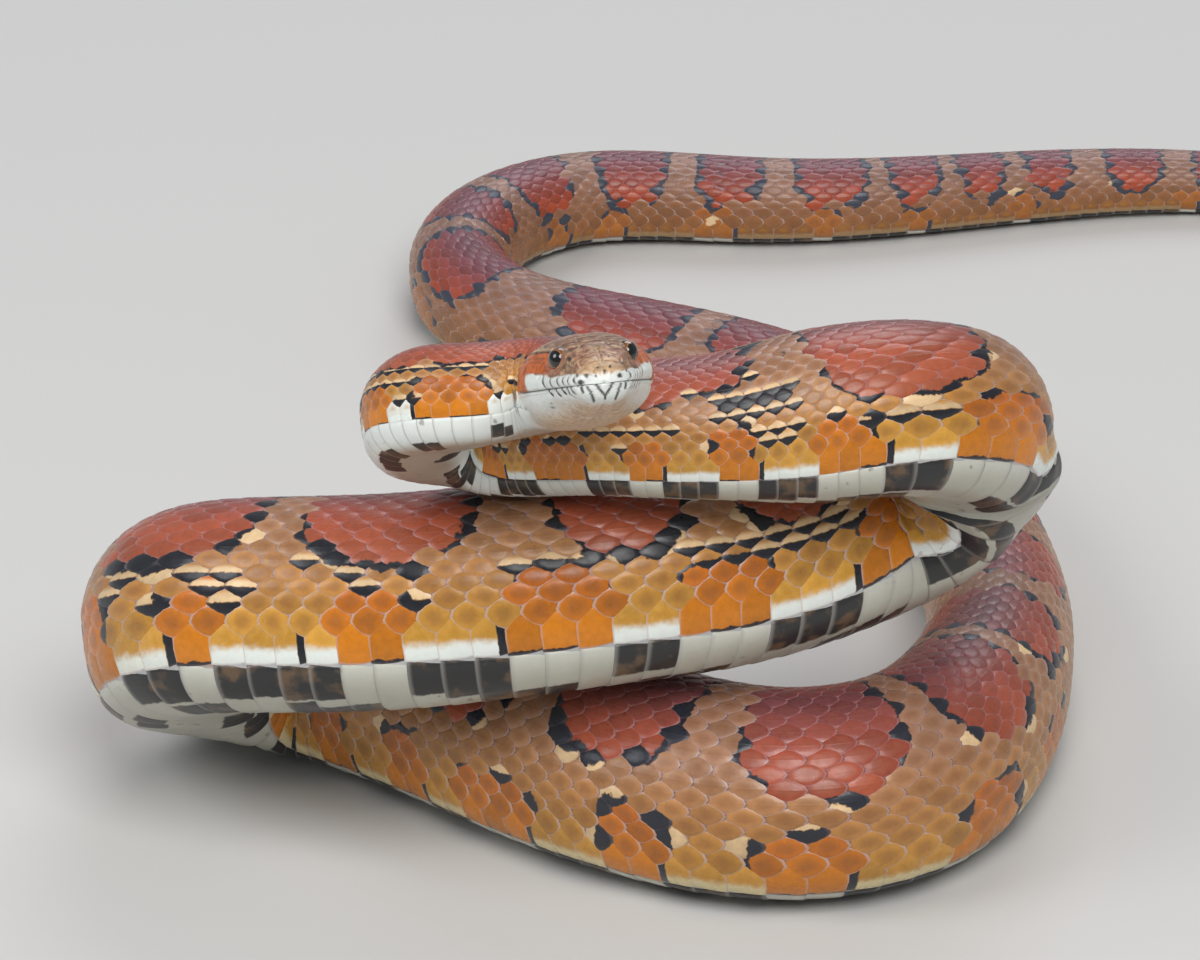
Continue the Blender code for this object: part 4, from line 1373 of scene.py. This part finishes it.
@dataclass
class BackScales:
    """The rows of scales over back and flanks, laid by Geometry Nodes on their roots."""

    shape: BodyShape
    rows: ScaleRows
    markings: Markings
    ring_sides: int = 12
    sink: float = 0.30  # roots lie this far under the outer surface
    seed: int = 5
    overlap: float = 0.555  # half a scale's length, in spaces between columns
    closest: float = 0.50  # scales nearer to the last than this share of the spacing are dropped
    chart_half: float = 0.0015  # half a scale's width on the chart
    # Places where one piece ends and the next starts.
    parts: tuple[float, ...] = (-50.0, 70.0, 215.0, 330.0, 460.0, 620.0, 2000.0)
    # The tall scale by the belly: a point above, straight sides and a flat foot.
    edge_outline: Table = (
        (1.0, -0.20), (0.97, 0.28), (0.60, 0.68), (0.20, 0.94), (-0.12, 1.0), (-0.60, 0.70), (-0.97, 0.28),
        (-1.0, -0.30), (-0.98, -0.94), (-0.45, -1.0), (0.45, -1.0), (0.98, -0.94),
    )
    # Rings of a scale: share of the outline, height at the front, rise to the rear, dome.
    rings: Table = (
        (0.5, 0.10, 0.16, 0.12), (0.86, 0.07, 0.17, 0.04), (1.0, -0.10, 0.24, 0.0),
    )

    # The vector attributes that each kind of scale carries to its material.
    shown: ClassVar[dict[Template, dict[str, tuple[str, ...]]]] = {
        Template.PLAIN: {"saddle": ("red", "saddle", "saddle_black"), "blotch": ("orange", "blotch", "blotch_black"),
                         "whims": ("cream", "streak", "")},
        Template.EDGE: {"blotch": ("orange", "foot", "bar"), "whims": ("", "", "plain_white")},
    }

    def template(self, kind: Template, flip: int) -> types.Object:
        """One scale of half sizes 1 x 1, its tip towards +X, in mm of height.

        Args:
            kind: a plain scale, or the tall one by the belly.
            flip: 1 with the belly towards -Y, -1 towards +Y.

        Returns:
            The scale, closed below, with a sharp rim.
        """
        angles = np.arange(self.ring_sides) * 2 * math.pi / self.ring_sides + 1e-9
        c, s = np.cos(angles), np.sin(angles)
        power = np.where(c > 0, 1.62, 2.3)
        outline = np.stack([np.sign(c) * np.abs(c) ** (2 / power), np.sign(s) * np.abs(s) ** (2 / power)], axis=1)
        if kind is Template.EDGE:
            outline = np.array(self.edge_outline)
        points, local = [(0.0, 0.0, 0.30)], [(0.0, 0.0, 0.0)]
        for radius, low, rise, dome in self.rings:
            for px, py in outline * radius:
                points.append((px, py * flip, low + rise * (px + 1) / 2 + dome))
                local.append((px, py, radius))
        n = self.ring_sides
        faces = [[0, 1 + k, 1 + (k + 1) % n] for k in range(n)]
        for ring in range(2):
            a, b = 1 + ring * n, 1 + (ring + 1) * n
            faces += [[a + k, b + k, b + (k + 1) % n, a + (k + 1) % n] for k in range(n)]
        faces.append([1 + 2 * n + k for k in reversed(range(n))])
        if flip < 0:
            faces = [face[::-1] for face in faces]
        mesh = bpy.data.meshes.new(f"scale_{kind.value}")
        mesh.from_pydata(points, [], faces)
        mesh.shade_smooth()
        store(mesh, "local", np.array(local))
        store(mesh, "spot", np.array(points))
        sharp = mesh.attributes.new("sharp_edge", "BOOLEAN", "EDGE")
        rim = [all(v > 2 * n for v in edge.vertices) for edge in mesh.edges]
        sharp.data.foreach_set("value", rim)
        return link(mesh.name, mesh)

    def tree(self) -> types.NodeTree:
        """Geometry Nodes that lay a scale on every root, turned and sized by the root's attributes."""
        tree = bpy.data.node_groups.new("lay_scales", "GeometryNodeTree")
        for label, kind in (("Roots", "NodeSocketGeometry"), ("Scale", "NodeSocketObject"),
                            ("Finish", "NodeSocketMaterial")):
            tree.interface.new_socket(label, in_out="INPUT", socket_type=kind)
        tree.interface.new_socket("Scales", in_out="OUTPUT", socket_type="NodeSocketGeometry")
        w = Wires(tree)
        roots, scale, coat, *_ = w.outs(w.add("NodeGroupInput"))
        facing, size = (w.add("GeometryNodeInputNamedAttribute", {"Name": name}, data_type="FLOAT_VECTOR")
                        for name in ("facing", "size"))
        laid = w.add("GeometryNodeInstanceOnPoints", {
            "Points": roots,
            "Instance": w.out(w.add("GeometryNodeObjectInfo", {"Object": scale}), "Geometry"),
            "Rotation": w.add("FunctionNodeEulerToRotation", {0: facing}),
            "Scale": size,
        })
        real = w.add("GeometryNodeRealizeInstances", {0: laid})
        w.add("NodeGroupOutput", {0: w.add("GeometryNodeSetMaterial", {"Geometry": real, "Material": coat})})
        return tree

    def roots(self) -> dict[str, Array]:
        """Every scale's root: row, place, signed share round the body, reach forwards and back, half height."""
        found = {name: [] for name in ("row", "place", "share", "half", "rear", "tall")}
        starts = [start for start, _ in self.rows.counts] + [9999.0]
        for (start, count), end in zip(self.rows.counts, starts[1:]):
            per_side = (count - 1) // 2
            layout, units = self.rows.layout(per_side)
            for row, (middle, half) in enumerate(layout, start=1):
                line = self.rows.place(np.arange(0, self.rows.columns - 1) + 0.5 * (row % 2))
                line = line[(line >= start) & (line < end)]
                for side in (0.0,) if row == per_side + 1 else (1.0, -1.0):
                    share = side * (1 - middle / units)
                    place = self.spread(line, share)
                    gap, ends = np.diff(place), self.rows.pitch(place)[[0, -1]]
                    reaches = (np.concatenate(part) * self.overlap for part in ([ends[:1], gap], [gap, ends[1:]]))
                    for values, value in zip(found.values(), (row, place, share, *reaches, half / units)):
                        values.append(np.broadcast_to(value, place.shape))
        root = {name: np.concatenate(values) for name, values in found.items()}
        root["turn"] = np.sign(root["share"]) * self.rows.turn(np.abs(root["share"]), root["place"])
        return root

    def spread(self, line: Array, share: float) -> Array:
        """Drops scales of one row where a tight bend leaves them less than half their length.

        Args:
            line: the row's places.
            share: the row's signed share round the body.

        Returns:
            The places that stay.
        """
        turn = np.sign(share) * self.rows.turn(np.abs(share), line)
        points = self.shape.plain(line, turn)
        kept = [0]
        for i in range(1, len(line)):
            if np.linalg.norm(points[i] - points[kept[-1]]) > self.closest * float(self.rows.pitch(line[i])):
                kept.append(i)
        return line[kept]

    def marks(self, root: dict[str, Array], rng: np.random.Generator) -> None:
        """Adds what each scale shows to the roots."""
        place, turn = root["place"], root["turn"]
        shift = place + root["half"] * 0.1
        reach = np.degrees(0.5 * self.rows.plain_half * self.rows.arc_mm(place) / 15.5 / self.shape.half_width(place))
        root["saddle"] = self.markings.saddle_depth(shift, turn)
        root["blotch"] = self.markings.blotch_depth(shift, turn)
        root.update(self.markings.whims(shift, turn, reach * 1.2, rng))
        root["red"] = (root["saddle"] > 0).astype(float)
        for start, end, middle in self.markings.small_spots:
            root["red"][(place > start) & (place < end) & (np.abs(turn - middle) < 4.5)] = 1.0
        root["orange"] = ((root["blotch"] > 0) & (root["red"] < 0.5)).astype(float)
        edge = root["row"] == 1
        root["foot"] = (rng.uniform(0, 1, len(place)) < 0.65).astype(float)
        bar = np.zeros(len(place))
        for side, spans in self.markings.sides.items():
            for _, end in spans:
                after = end + root["half"] * 0.9
                bar[edge & (turn * side.value > 0) & (np.abs(place - after) < root["half"] * 0.9)] = 1.0
        root["bar"] = bar * (root["orange"] < 0.5) * (rng.uniform(0, 1, len(place)) < 0.75)
        root["plain_white"] = fall(26, 44, place)

    def build(self, finish: Finish) -> list[types.Object]:
        """Lays all scales, part by part."""
        rng = np.random.default_rng(self.seed)
        root = self.roots()
        self.marks(root, rng)
        count = len(root["place"])
        tail = self.markings.tail(root["place"])
        root["paint"] = np.stack([np.abs(root["share"]), rng.uniform(0, 1, count), tail, np.ones(count)], axis=1)
        points, normal, flow = self.shape.surface(root["place"], root["turn"], -self.sink)
        flow = unit(flow - (flow * normal).sum(1, keepdims=True) * normal)
        up = np.cross(normal, flow)
        root["points"] = points
        root["facing"] = np.array([tuple(Matrix(np.stack([f, u, n], axis=1).tolist()).to_euler())
                                   for f, u, n in zip(flow, up, normal)])
        root["deep"] = np.clip(root["half"] / 2.7, 0.38, 1.0)
        root["lean"] = rng.uniform(-0.06, 0.06, count)
        tall_mm = root["tall"] * self.rows.arc_mm(root["place"])
        root["size"] = np.stack([root["half"], tall_mm, root["deep"]], axis=1) * MM
        root["chart"] = unwrap(root["place"], root["turn"])
        tree, plain, low = self.tree(), finish.scales(), finish.edge_scales()
        made = []
        edge = root["row"] == 1
        for number, (start, end) in enumerate(zip(self.parts, self.parts[1:]), start=1):
            keep = np.flatnonzero((root["place"] >= start) & (root["place"] < end) & ~edge)
            made.append(self.lay(f"back_scales_{number}", keep, Template.PLAIN, 1, tree, plain, root))
        for side in Side:
            keep = np.flatnonzero(edge & (np.sign(root["share"]) == side.value))
            made.append(self.lay(f"edge_scales_{side.name.lower()}", keep, Template.EDGE, side.value, tree, low, root))
        return made

    def lay(self, name: str, keep: Array, kind: Template, flip: int, tree: types.NodeTree,
            coat: types.Material, root: dict[str, Array]) -> types.Object:
        """Lays one piece of scales.

        Args:
            name: the piece's name.
            keep: the roots it has.
            kind: its scale's outline.
            flip: the template's belly side.
            tree: the Geometry Nodes.
            coat: the scales' material.
            root: every root's values.

        Returns:
            The piece as a plain mesh.
        """
        holder = new_mesh(f"{name}_roots", root["points"][keep], [])
        store(holder, "facing", root["facing"][keep])
        store(holder, "size", root["size"][keep])
        store(holder, "number", np.arange(len(keep), dtype=float))
        roots = link(holder.name, holder)
        scale = self.template(kind, flip)
        layer = roots.modifiers.new("scales", "NODES")
        layer.node_group = tree
        given = {item.name: item.identifier for item in tree.interface.items_tree if item.in_out == "INPUT"}
        layer[given["Scale"]] = scale
        layer[given["Finish"]] = coat
        bpy.context.view_layer.update()
        evaluated = roots.evaluated_get(bpy.context.evaluated_depsgraph_get())
        mesh = bpy.data.meshes.new_from_object(evaluated)
        mesh.name = name
        bpy.data.objects.remove(roots)
        bpy.data.objects.remove(scale)
        self.settle(mesh, keep, root, kind)
        return place_piece(name, mesh)

    def settle(self, mesh: types.Mesh, keep: Array, root: dict[str, Array], kind: Template) -> None:
        """Bends each scale on to the body's curve and writes its marks and its chart.

        Args:
            mesh: the realised scales.
            keep: the roots they stand on.
            root: every root's values.
            kind: the scales' outline.
        """
        owner = keep[np.rint(read(mesh, "number", "value", 1)[:, 0]).astype(int)]
        local, spot = read(mesh, "local", "vector", 3), read(mesh, "spot", "vector", 3)
        values = {name: column[owner] for name, column in root.items() if column.ndim == 1}
        place = values["place"] + spot[:, 0] * np.where(spot[:, 0] < 0, values["half"], values["rear"])
        share = values["share"] - (spot[:, 1] + values["lean"] * spot[:, 0]) * values["tall"]
        turn = np.sign(share) * self.rows.turn(np.abs(share), place)
        lift = spot[:, 2] * values["deep"] - self.sink
        points = self.shape.surface(place, turn, lift)[0]
        mesh.vertices.foreach_set("co", (on_floor(points) * MM).astype(np.float32).ravel())
        if kind is Template.PLAIN:
            local[:, 1] *= np.where(values["share"] < 0, -1.0, 1.0)
            mesh.attributes["local"].data.foreach_set("vector", local.ravel())
            for label, depth in (("saddle", self.markings.saddle_depth), ("blotch", self.markings.blotch_depth)):
                values[label] = 0.30 * values[label] + 0.70 * depth(place, turn)
        for label, names in self.shown[kind].items():
            store(mesh, label, np.stack([values.get(name, np.zeros(len(place))) for name in names], axis=1))
        store(mesh, "place", root["paint"][owner])
        for label in ("facing", "size", "number", "spot"):
            mesh.attributes.remove(mesh.attributes[label])
        lay_point_uv(mesh, root["chart"][owner] + local[:, :2] * self.chart_half)


@dataclass
class BellyScutes:
    """One broad scute under each column, from the throat to the vent, and the pairs under the tail."""

    shape: BodyShape
    rows: ScaleRows
    markings: Markings
    first: float = 1.0
    across: int = 40
    split: float = 0.02  # half the gap between paired scutes, as a share of the belly's half
    full_pitch: float = 4.0  # scutes closer together than this are thinner, in mm
    bow: float = 0.16  # how far a scute's middle lies behind its ends, in pitches
    throat: tuple[float, float] = (45.0, 80.0)  # where the throat's white gives way to the belly's
    chart_long: float = 0.003
    chart_wide: float = 0.5 * 128 / 360 * STRIP_HEIGHT / STRIPS / 2
    # Along one scute: share of its pitch, and height over the outer surface in mm.
    profile: Table = (
        (-0.55, -0.42), (-0.40, -0.16), (0.0, -0.10), (0.38, -0.03), (0.54, -0.02), (0.60, -0.10), (0.60, -0.34),
        (0.0, -0.48),
    )

    def build(self, finish: Finish) -> list[types.Object]:
        """Makes the scutes of trunk and tail."""
        columns = np.arange(0, self.rows.columns - 1)
        places = self.rows.place(columns + 0.5)
        coat = finish.scutes()
        trunk = places[(places > self.first) & (places < VENT)]
        tail = places[(places >= VENT) & (places < self.shape.end - 2)]
        return [self.lay("belly_scutes", trunk, False, coat), self.lay("tail_scutes", tail, True, coat)]

    def plate(self, rings: int) -> list[list[int]]:
        """The faces of one scute, with so many points across it."""
        loop = len(self.profile)
        quads = [[i * rings + k, (i + 1) % loop * rings + k, (i + 1) % loop * rings + k + 1, i * rings + k + 1]
                 for i in range(loop) for k in range(rings - 1)]
        return [*quads, [i * rings for i in reversed(range(loop))], [i * rings + rings - 1 for i in range(loop)]]

    def lay(self, name: str, places: Array, paired: bool, coat: types.Material) -> types.Object:
        """One piece of scutes, each a closed curved plate.

        Args:
            name: the piece's name.
            places: the scutes' places.
            paired: True splits each scute in two at mid-belly.
            coat: their material.

        Returns:
            The piece.
        """
        halves = ((-1.0, -self.split), (self.split, 1.0)) if paired else ((-1.0, 1.0),)
        rings, loop = (self.across + 1) // len(halves), len(self.profile)
        shares, lifts = np.array(self.profile).T[:, :, None]
        width = np.tile([np.linspace(*half, rings) for half in halves], (len(places), 1))[:, None]
        place = np.repeat(places, len(halves))[:, None, None]
        pitch, turn = self.rows.pitch(place), 180 - width * (180 - self.rows.edge(place))
        size = np.minimum(1.0, pitch / self.full_pitch)
        bow = self.bow * pitch * (1 - width**2)
        tuck = 0.30 * step(0.93, 1.0, np.abs(width))
        points = self.shape.surface(place + shares * pitch + (bow - 0.1 * pitch), turn, lifts * size - tuck * size)[0]
        count = loop * rings
        faces = [[v + number * count for v in face] for number in range(len(place)) for face in self.plate(rings)]
        mesh = new_mesh(name, on_floor(points).reshape(-1, 3), faces)
        local = np.broadcast_arrays(shares / 0.6, width, fall(*self.throat, place))
        store(mesh, "local", np.stack(local, axis=-1).reshape(-1, 3))
        for side in Side:
            checks = self.markings.checks(places, side)
            store(mesh, f"checks_{side.name.lower()}", np.repeat(checks, count * len(halves), axis=0))
        flat = np.stack([local[0] * self.chart_long, (local[1] - 1) * self.chart_wide], axis=-1)
        lay_point_uv(mesh, (unwrap(place, np.full_like(place, 180.0 - 1e-3)) + flat).reshape(-1, 2))
        mesh.materials.append(coat)
        return place_piece(name, mesh)


@dataclass
class HeadShields:
    """The fused shields of the crown with the upper lip, and of the chin with the lower lip."""

    shape: BodyShape
    head: HeadMarks
    gap: float = 0.16  # mm between points along the head
    turn_gap: float = 1.15  # degrees between points round it
    thickness: float = 0.30
    groove: float = 0.15
    pit: float = 0.45  # depth of the nostrils
    back_end: float = 23.0
    chin_end: float = 32.5

    def build(self, finish: Finish) -> list[types.Object]:
        """Makes both shells."""
        crown = self.shell("crown_shields", -90.2, 90.2, self.head.crown_seams,
                           finish.head("corn_snake_crown"), self.back_end)
        chin = self.shell("chin_shields", 89.8, 270.2, self.head.chin_seams,
                          finish.head("corn_snake_chin"), self.chin_end)
        return [crown, chin]

    def shell(self, name: str, low: float, high: float, seams: tuple,
              coat: types.Material, back_end: float) -> types.Object:
        """One closed shell with grooves along its seams.

        Args:
            name: the piece's name.
            low: first turn from mid-crown, in degrees.
            high: last turn.
            seams: its shields' seams.
            coat: its material.
            back_end: mm behind the snout where it ends.

        Returns:
            The piece.
        """
        behinds = np.concatenate([(-0.28, -0.2, -0.12, -0.05, 0.02, 0.09), np.arange(0.18, back_end, self.gap)])
        turns = np.linspace(low, high, int((high - low) / self.turn_gap))
        behind, turn = np.meshgrid(behinds, turns, indexing="ij")
        signed = np.where(turn > 180, turn - 360, turn)
        place = behind - HEAD_LENGTH
        base = self.shape.surface(place, signed)[0]
        flat = base.reshape(-1, 3)
        seam = self.head.nearest(flat, self.head.seam_points(seams)).reshape(behind.shape)
        lip = self.head.nearest(flat, self.head.labial_seams()).reshape(behind.shape)
        lift = 0.05 - self.groove * bump(seam, 0, 0.17) - self.groove * bump(lip, 0, 0.16)
        lift += 0.07 * step(0.15, 0.9, np.minimum(seam, lip))
        lift -= self.groove * bump(self.head.mental(place, signed), 0, 0.14)
        lift -= self.pit * self.head.nostril(behind, signed, 0.26)
        rim = step(0, 2.5, turn - low) * step(0, 2.5, high - turn) * fall(back_end - 1.2, back_end, behind)
        rim = rim * (1 - step(22.0, 23.5, behind) * fall(116.0, 120.0, np.abs(signed)))
        lift = -self.thickness + (lift + self.thickness) * (0.25 + 0.75 * rim)
        top = self.shape.surface(place, signed, lift)[0]
        bottom = self.shape.surface(place, signed, np.minimum(lift - 0.05, -self.thickness - 0.05))[0]
        rows, columns = behind.shape
        size = rows * columns
        grid = np.arange(size).reshape(rows, columns)
        ring = np.concatenate([grid[:-1, 0], grid[-1, :-1], grid[:0:-1, -1], grid[0, :0:-1]])
        after = np.roll(ring, -1)
        walls = np.stack([ring, after, after + size, ring + size], axis=1)
        upper, lower = grid_faces(rows, columns), grid_faces(rows, columns, start=size)[:, ::-1]
        points = np.concatenate([top.reshape(-1, 3), bottom.reshape(-1, 3)])
        mesh = new_mesh(name, points, np.concatenate([upper, lower, walls]).tolist())
        marks = self.head.paint(place.ravel(), signed.ravel(), seam.ravel(), lip.ravel())
        store(mesh, "marks", np.concatenate([marks, marks]))
        chart = unwrap(place.ravel() * 4.0, signed.ravel() if low < 0 else turn.ravel() - 180)
        lay_point_uv(mesh, np.concatenate([chart, chart * 0.999]))
        mesh.materials.append(coat)
        return place_piece(name, mesh)


@dataclass
class Eyes:
    """Two eyeballs, each with a round pupil that looks out and a little forward."""

    shape: BodyShape
    rings: int = 40
    sides: int = 64
    forward: float = 44.0  # degrees that it looks forward
    upward: float = 4.0
    chart_radius: float = 0.48

    def build(self, finish: Finish) -> list[types.Object]:
        """Makes both eyes."""
        coat = finish.eye()
        return [self.ball(side, coat) for side in Side]

    def ball(self, side: Side, coat: types.Material) -> types.Object:
        """One eye, a sphere with its pole at the pupil."""
        middle = self.shape.eye(side)
        _, along, back, left = self.shape.frames(np.array(self.shape.eye_behind - HEAD_LENGTH))
        fore, up = math.radians(self.forward), math.radians(self.upward)
        axis = unit(left * side.value * math.cos(fore) - along * math.sin(fore) + back * math.sin(up))
        first = unit(np.cross(axis, back))
        second = np.cross(axis, first)
        gaze = np.linspace(0, 180, self.rings + 1)[1:-1]
        turn = np.arange(self.sides) * 2 * math.pi / self.sides
        g = np.radians(gaze)[:, None, None]
        around = np.cos(turn)[None, :, None] * first + np.sin(turn)[None, :, None] * second
        ring = middle + self.shape.eye_radius * (np.cos(g) * axis + np.sin(g) * around)
        poles = np.stack([middle + axis * self.shape.eye_radius, middle - axis * self.shape.eye_radius])
        rows, n = len(gaze), self.sides
        faces = [face[::-1] for face in tube_faces(rows, n)]
        mesh = new_mesh(f"eyeball_{side.name.lower()}", np.concatenate([ring.reshape(-1, 3), poles]), faces)
        store(mesh, "gaze", np.concatenate([np.repeat(gaze, n), [0.0, 180.0]]))
        spread = np.concatenate([np.repeat(gaze, n), [0.0, 180.0]])[:, None] / 180 * self.chart_radius
        turned = np.concatenate([np.tile(turn, rows), [0.0, 0.0]])
        lay_point_uv(mesh, 0.5 + spread * np.stack([np.cos(turned), np.sin(turned)], axis=1))
        mesh.materials.append(coat)
        made = place_piece(mesh.name, mesh)
        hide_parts(f"eye_{side.name.lower()}")
        return made


@dataclass
class Studio:
    """A pale floor, soft lights and the camera."""

    camera_place: tuple[float, float, float] = (-0.0430, -1.30261, 0.68099)
    camera_tilt: float = 63.0
    lens: float = 290.01
    floor: Color = (0.60, 0.59, 0.57)
    world: Color = (0.80, 0.84, 0.90)
    world_strength: float = 0.34
    reach: float = 6.0  # half the floor's side, in m
    drop: float = 0.0002  # the floor lies this far under the snake
    aim: tuple[float, float, float] = (0.0, -0.06, 0.04)  # where the lights point

    def build(self) -> None:
        """Makes the stage."""
        scene = bpy.context.scene
        mesh = bpy.data.meshes.new("floor")
        corners = [(x * self.reach, y * self.reach, -self.drop) for x, y in ((-1, -1), (1, -1), (1, 1), (-1, 1))]
        mesh.from_pydata(corners, [], [(0, 1, 2, 3)])
        floor = link("floor", mesh)
        coat = bpy.data.materials.new("studio_floor")
        coat.use_nodes = True
        shader = coat.node_tree.nodes["Principled BSDF"]
        shader.inputs["Base Color"].default_value = (*self.floor, 1.0)
        shader.inputs["Roughness"].default_value = 0.85
        mesh.materials.append(coat)
        self.light("key", (0.14, -0.80, 1.00), 0.75, 10.6, (1.0, 0.985, 0.97))
        self.light("fill", (-0.85, -0.35, 0.75), 0.6, 4.0, (0.96, 0.98, 1.0))
        self.light("back", (0.15, 0.80, 0.85), 0.8, 4.5, (0.92, 0.95, 1.0))
        world = bpy.data.worlds.new("studio")
        world.use_nodes = True
        sky = world.node_tree.nodes["Background"]
        sky.inputs[0].default_value = (*self.world, 1.0)
        sky.inputs[1].default_value = self.world_strength
        scene.world = world
        scene.view_settings.view_transform = "Standard"
        lens = bpy.data.cameras.new("camera")
        lens.lens, lens.sensor_width = self.lens, 36.0
        lens.clip_start, lens.clip_end = 0.1, 10.0
        scene.camera = link("camera", lens)
        scene.camera.location = self.camera_place
        scene.camera.rotation_euler = (math.radians(self.camera_tilt), 0, 0)

    def light(self, name: str, place: tuple[float, float, float], size: float, power: float,
              color: Color) -> None:
        """A round soft light that faces the snake."""
        data = bpy.data.lights.new(name, "AREA")
        data.shape, data.size, data.energy, data.color = "DISK", size, power, color
        made = link(name, data)
        made.location = place
        away = np.array(place) - self.aim
        made.rotation_euler = (math.atan2(math.hypot(away[0], away[1]), away[2]), 0,
                               math.atan2(away[0], -away[1]))


def main() -> None:
    """Builds every piece in order."""
    logging.basicConfig(level=logging.INFO, format="%(name)s: %(message)s")
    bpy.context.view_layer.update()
    shape = BodyShape()
    rows = ScaleRows(shape)
    markings = Markings(rows)
    head = HeadMarks(shape)
    finish = Finish(BodyPaint().group(), HeadPaint().group())
    Skin(shape, rows, markings, head).build(finish)
    BackScales(shape, rows, markings).build(finish)
    BellyScutes(shape, rows, markings).build(finish)
    HeadShields(shape, head).build(finish)
    Eyes(shape).build(finish)
    Studio().build()


if __name__ == "__main__":
    main()
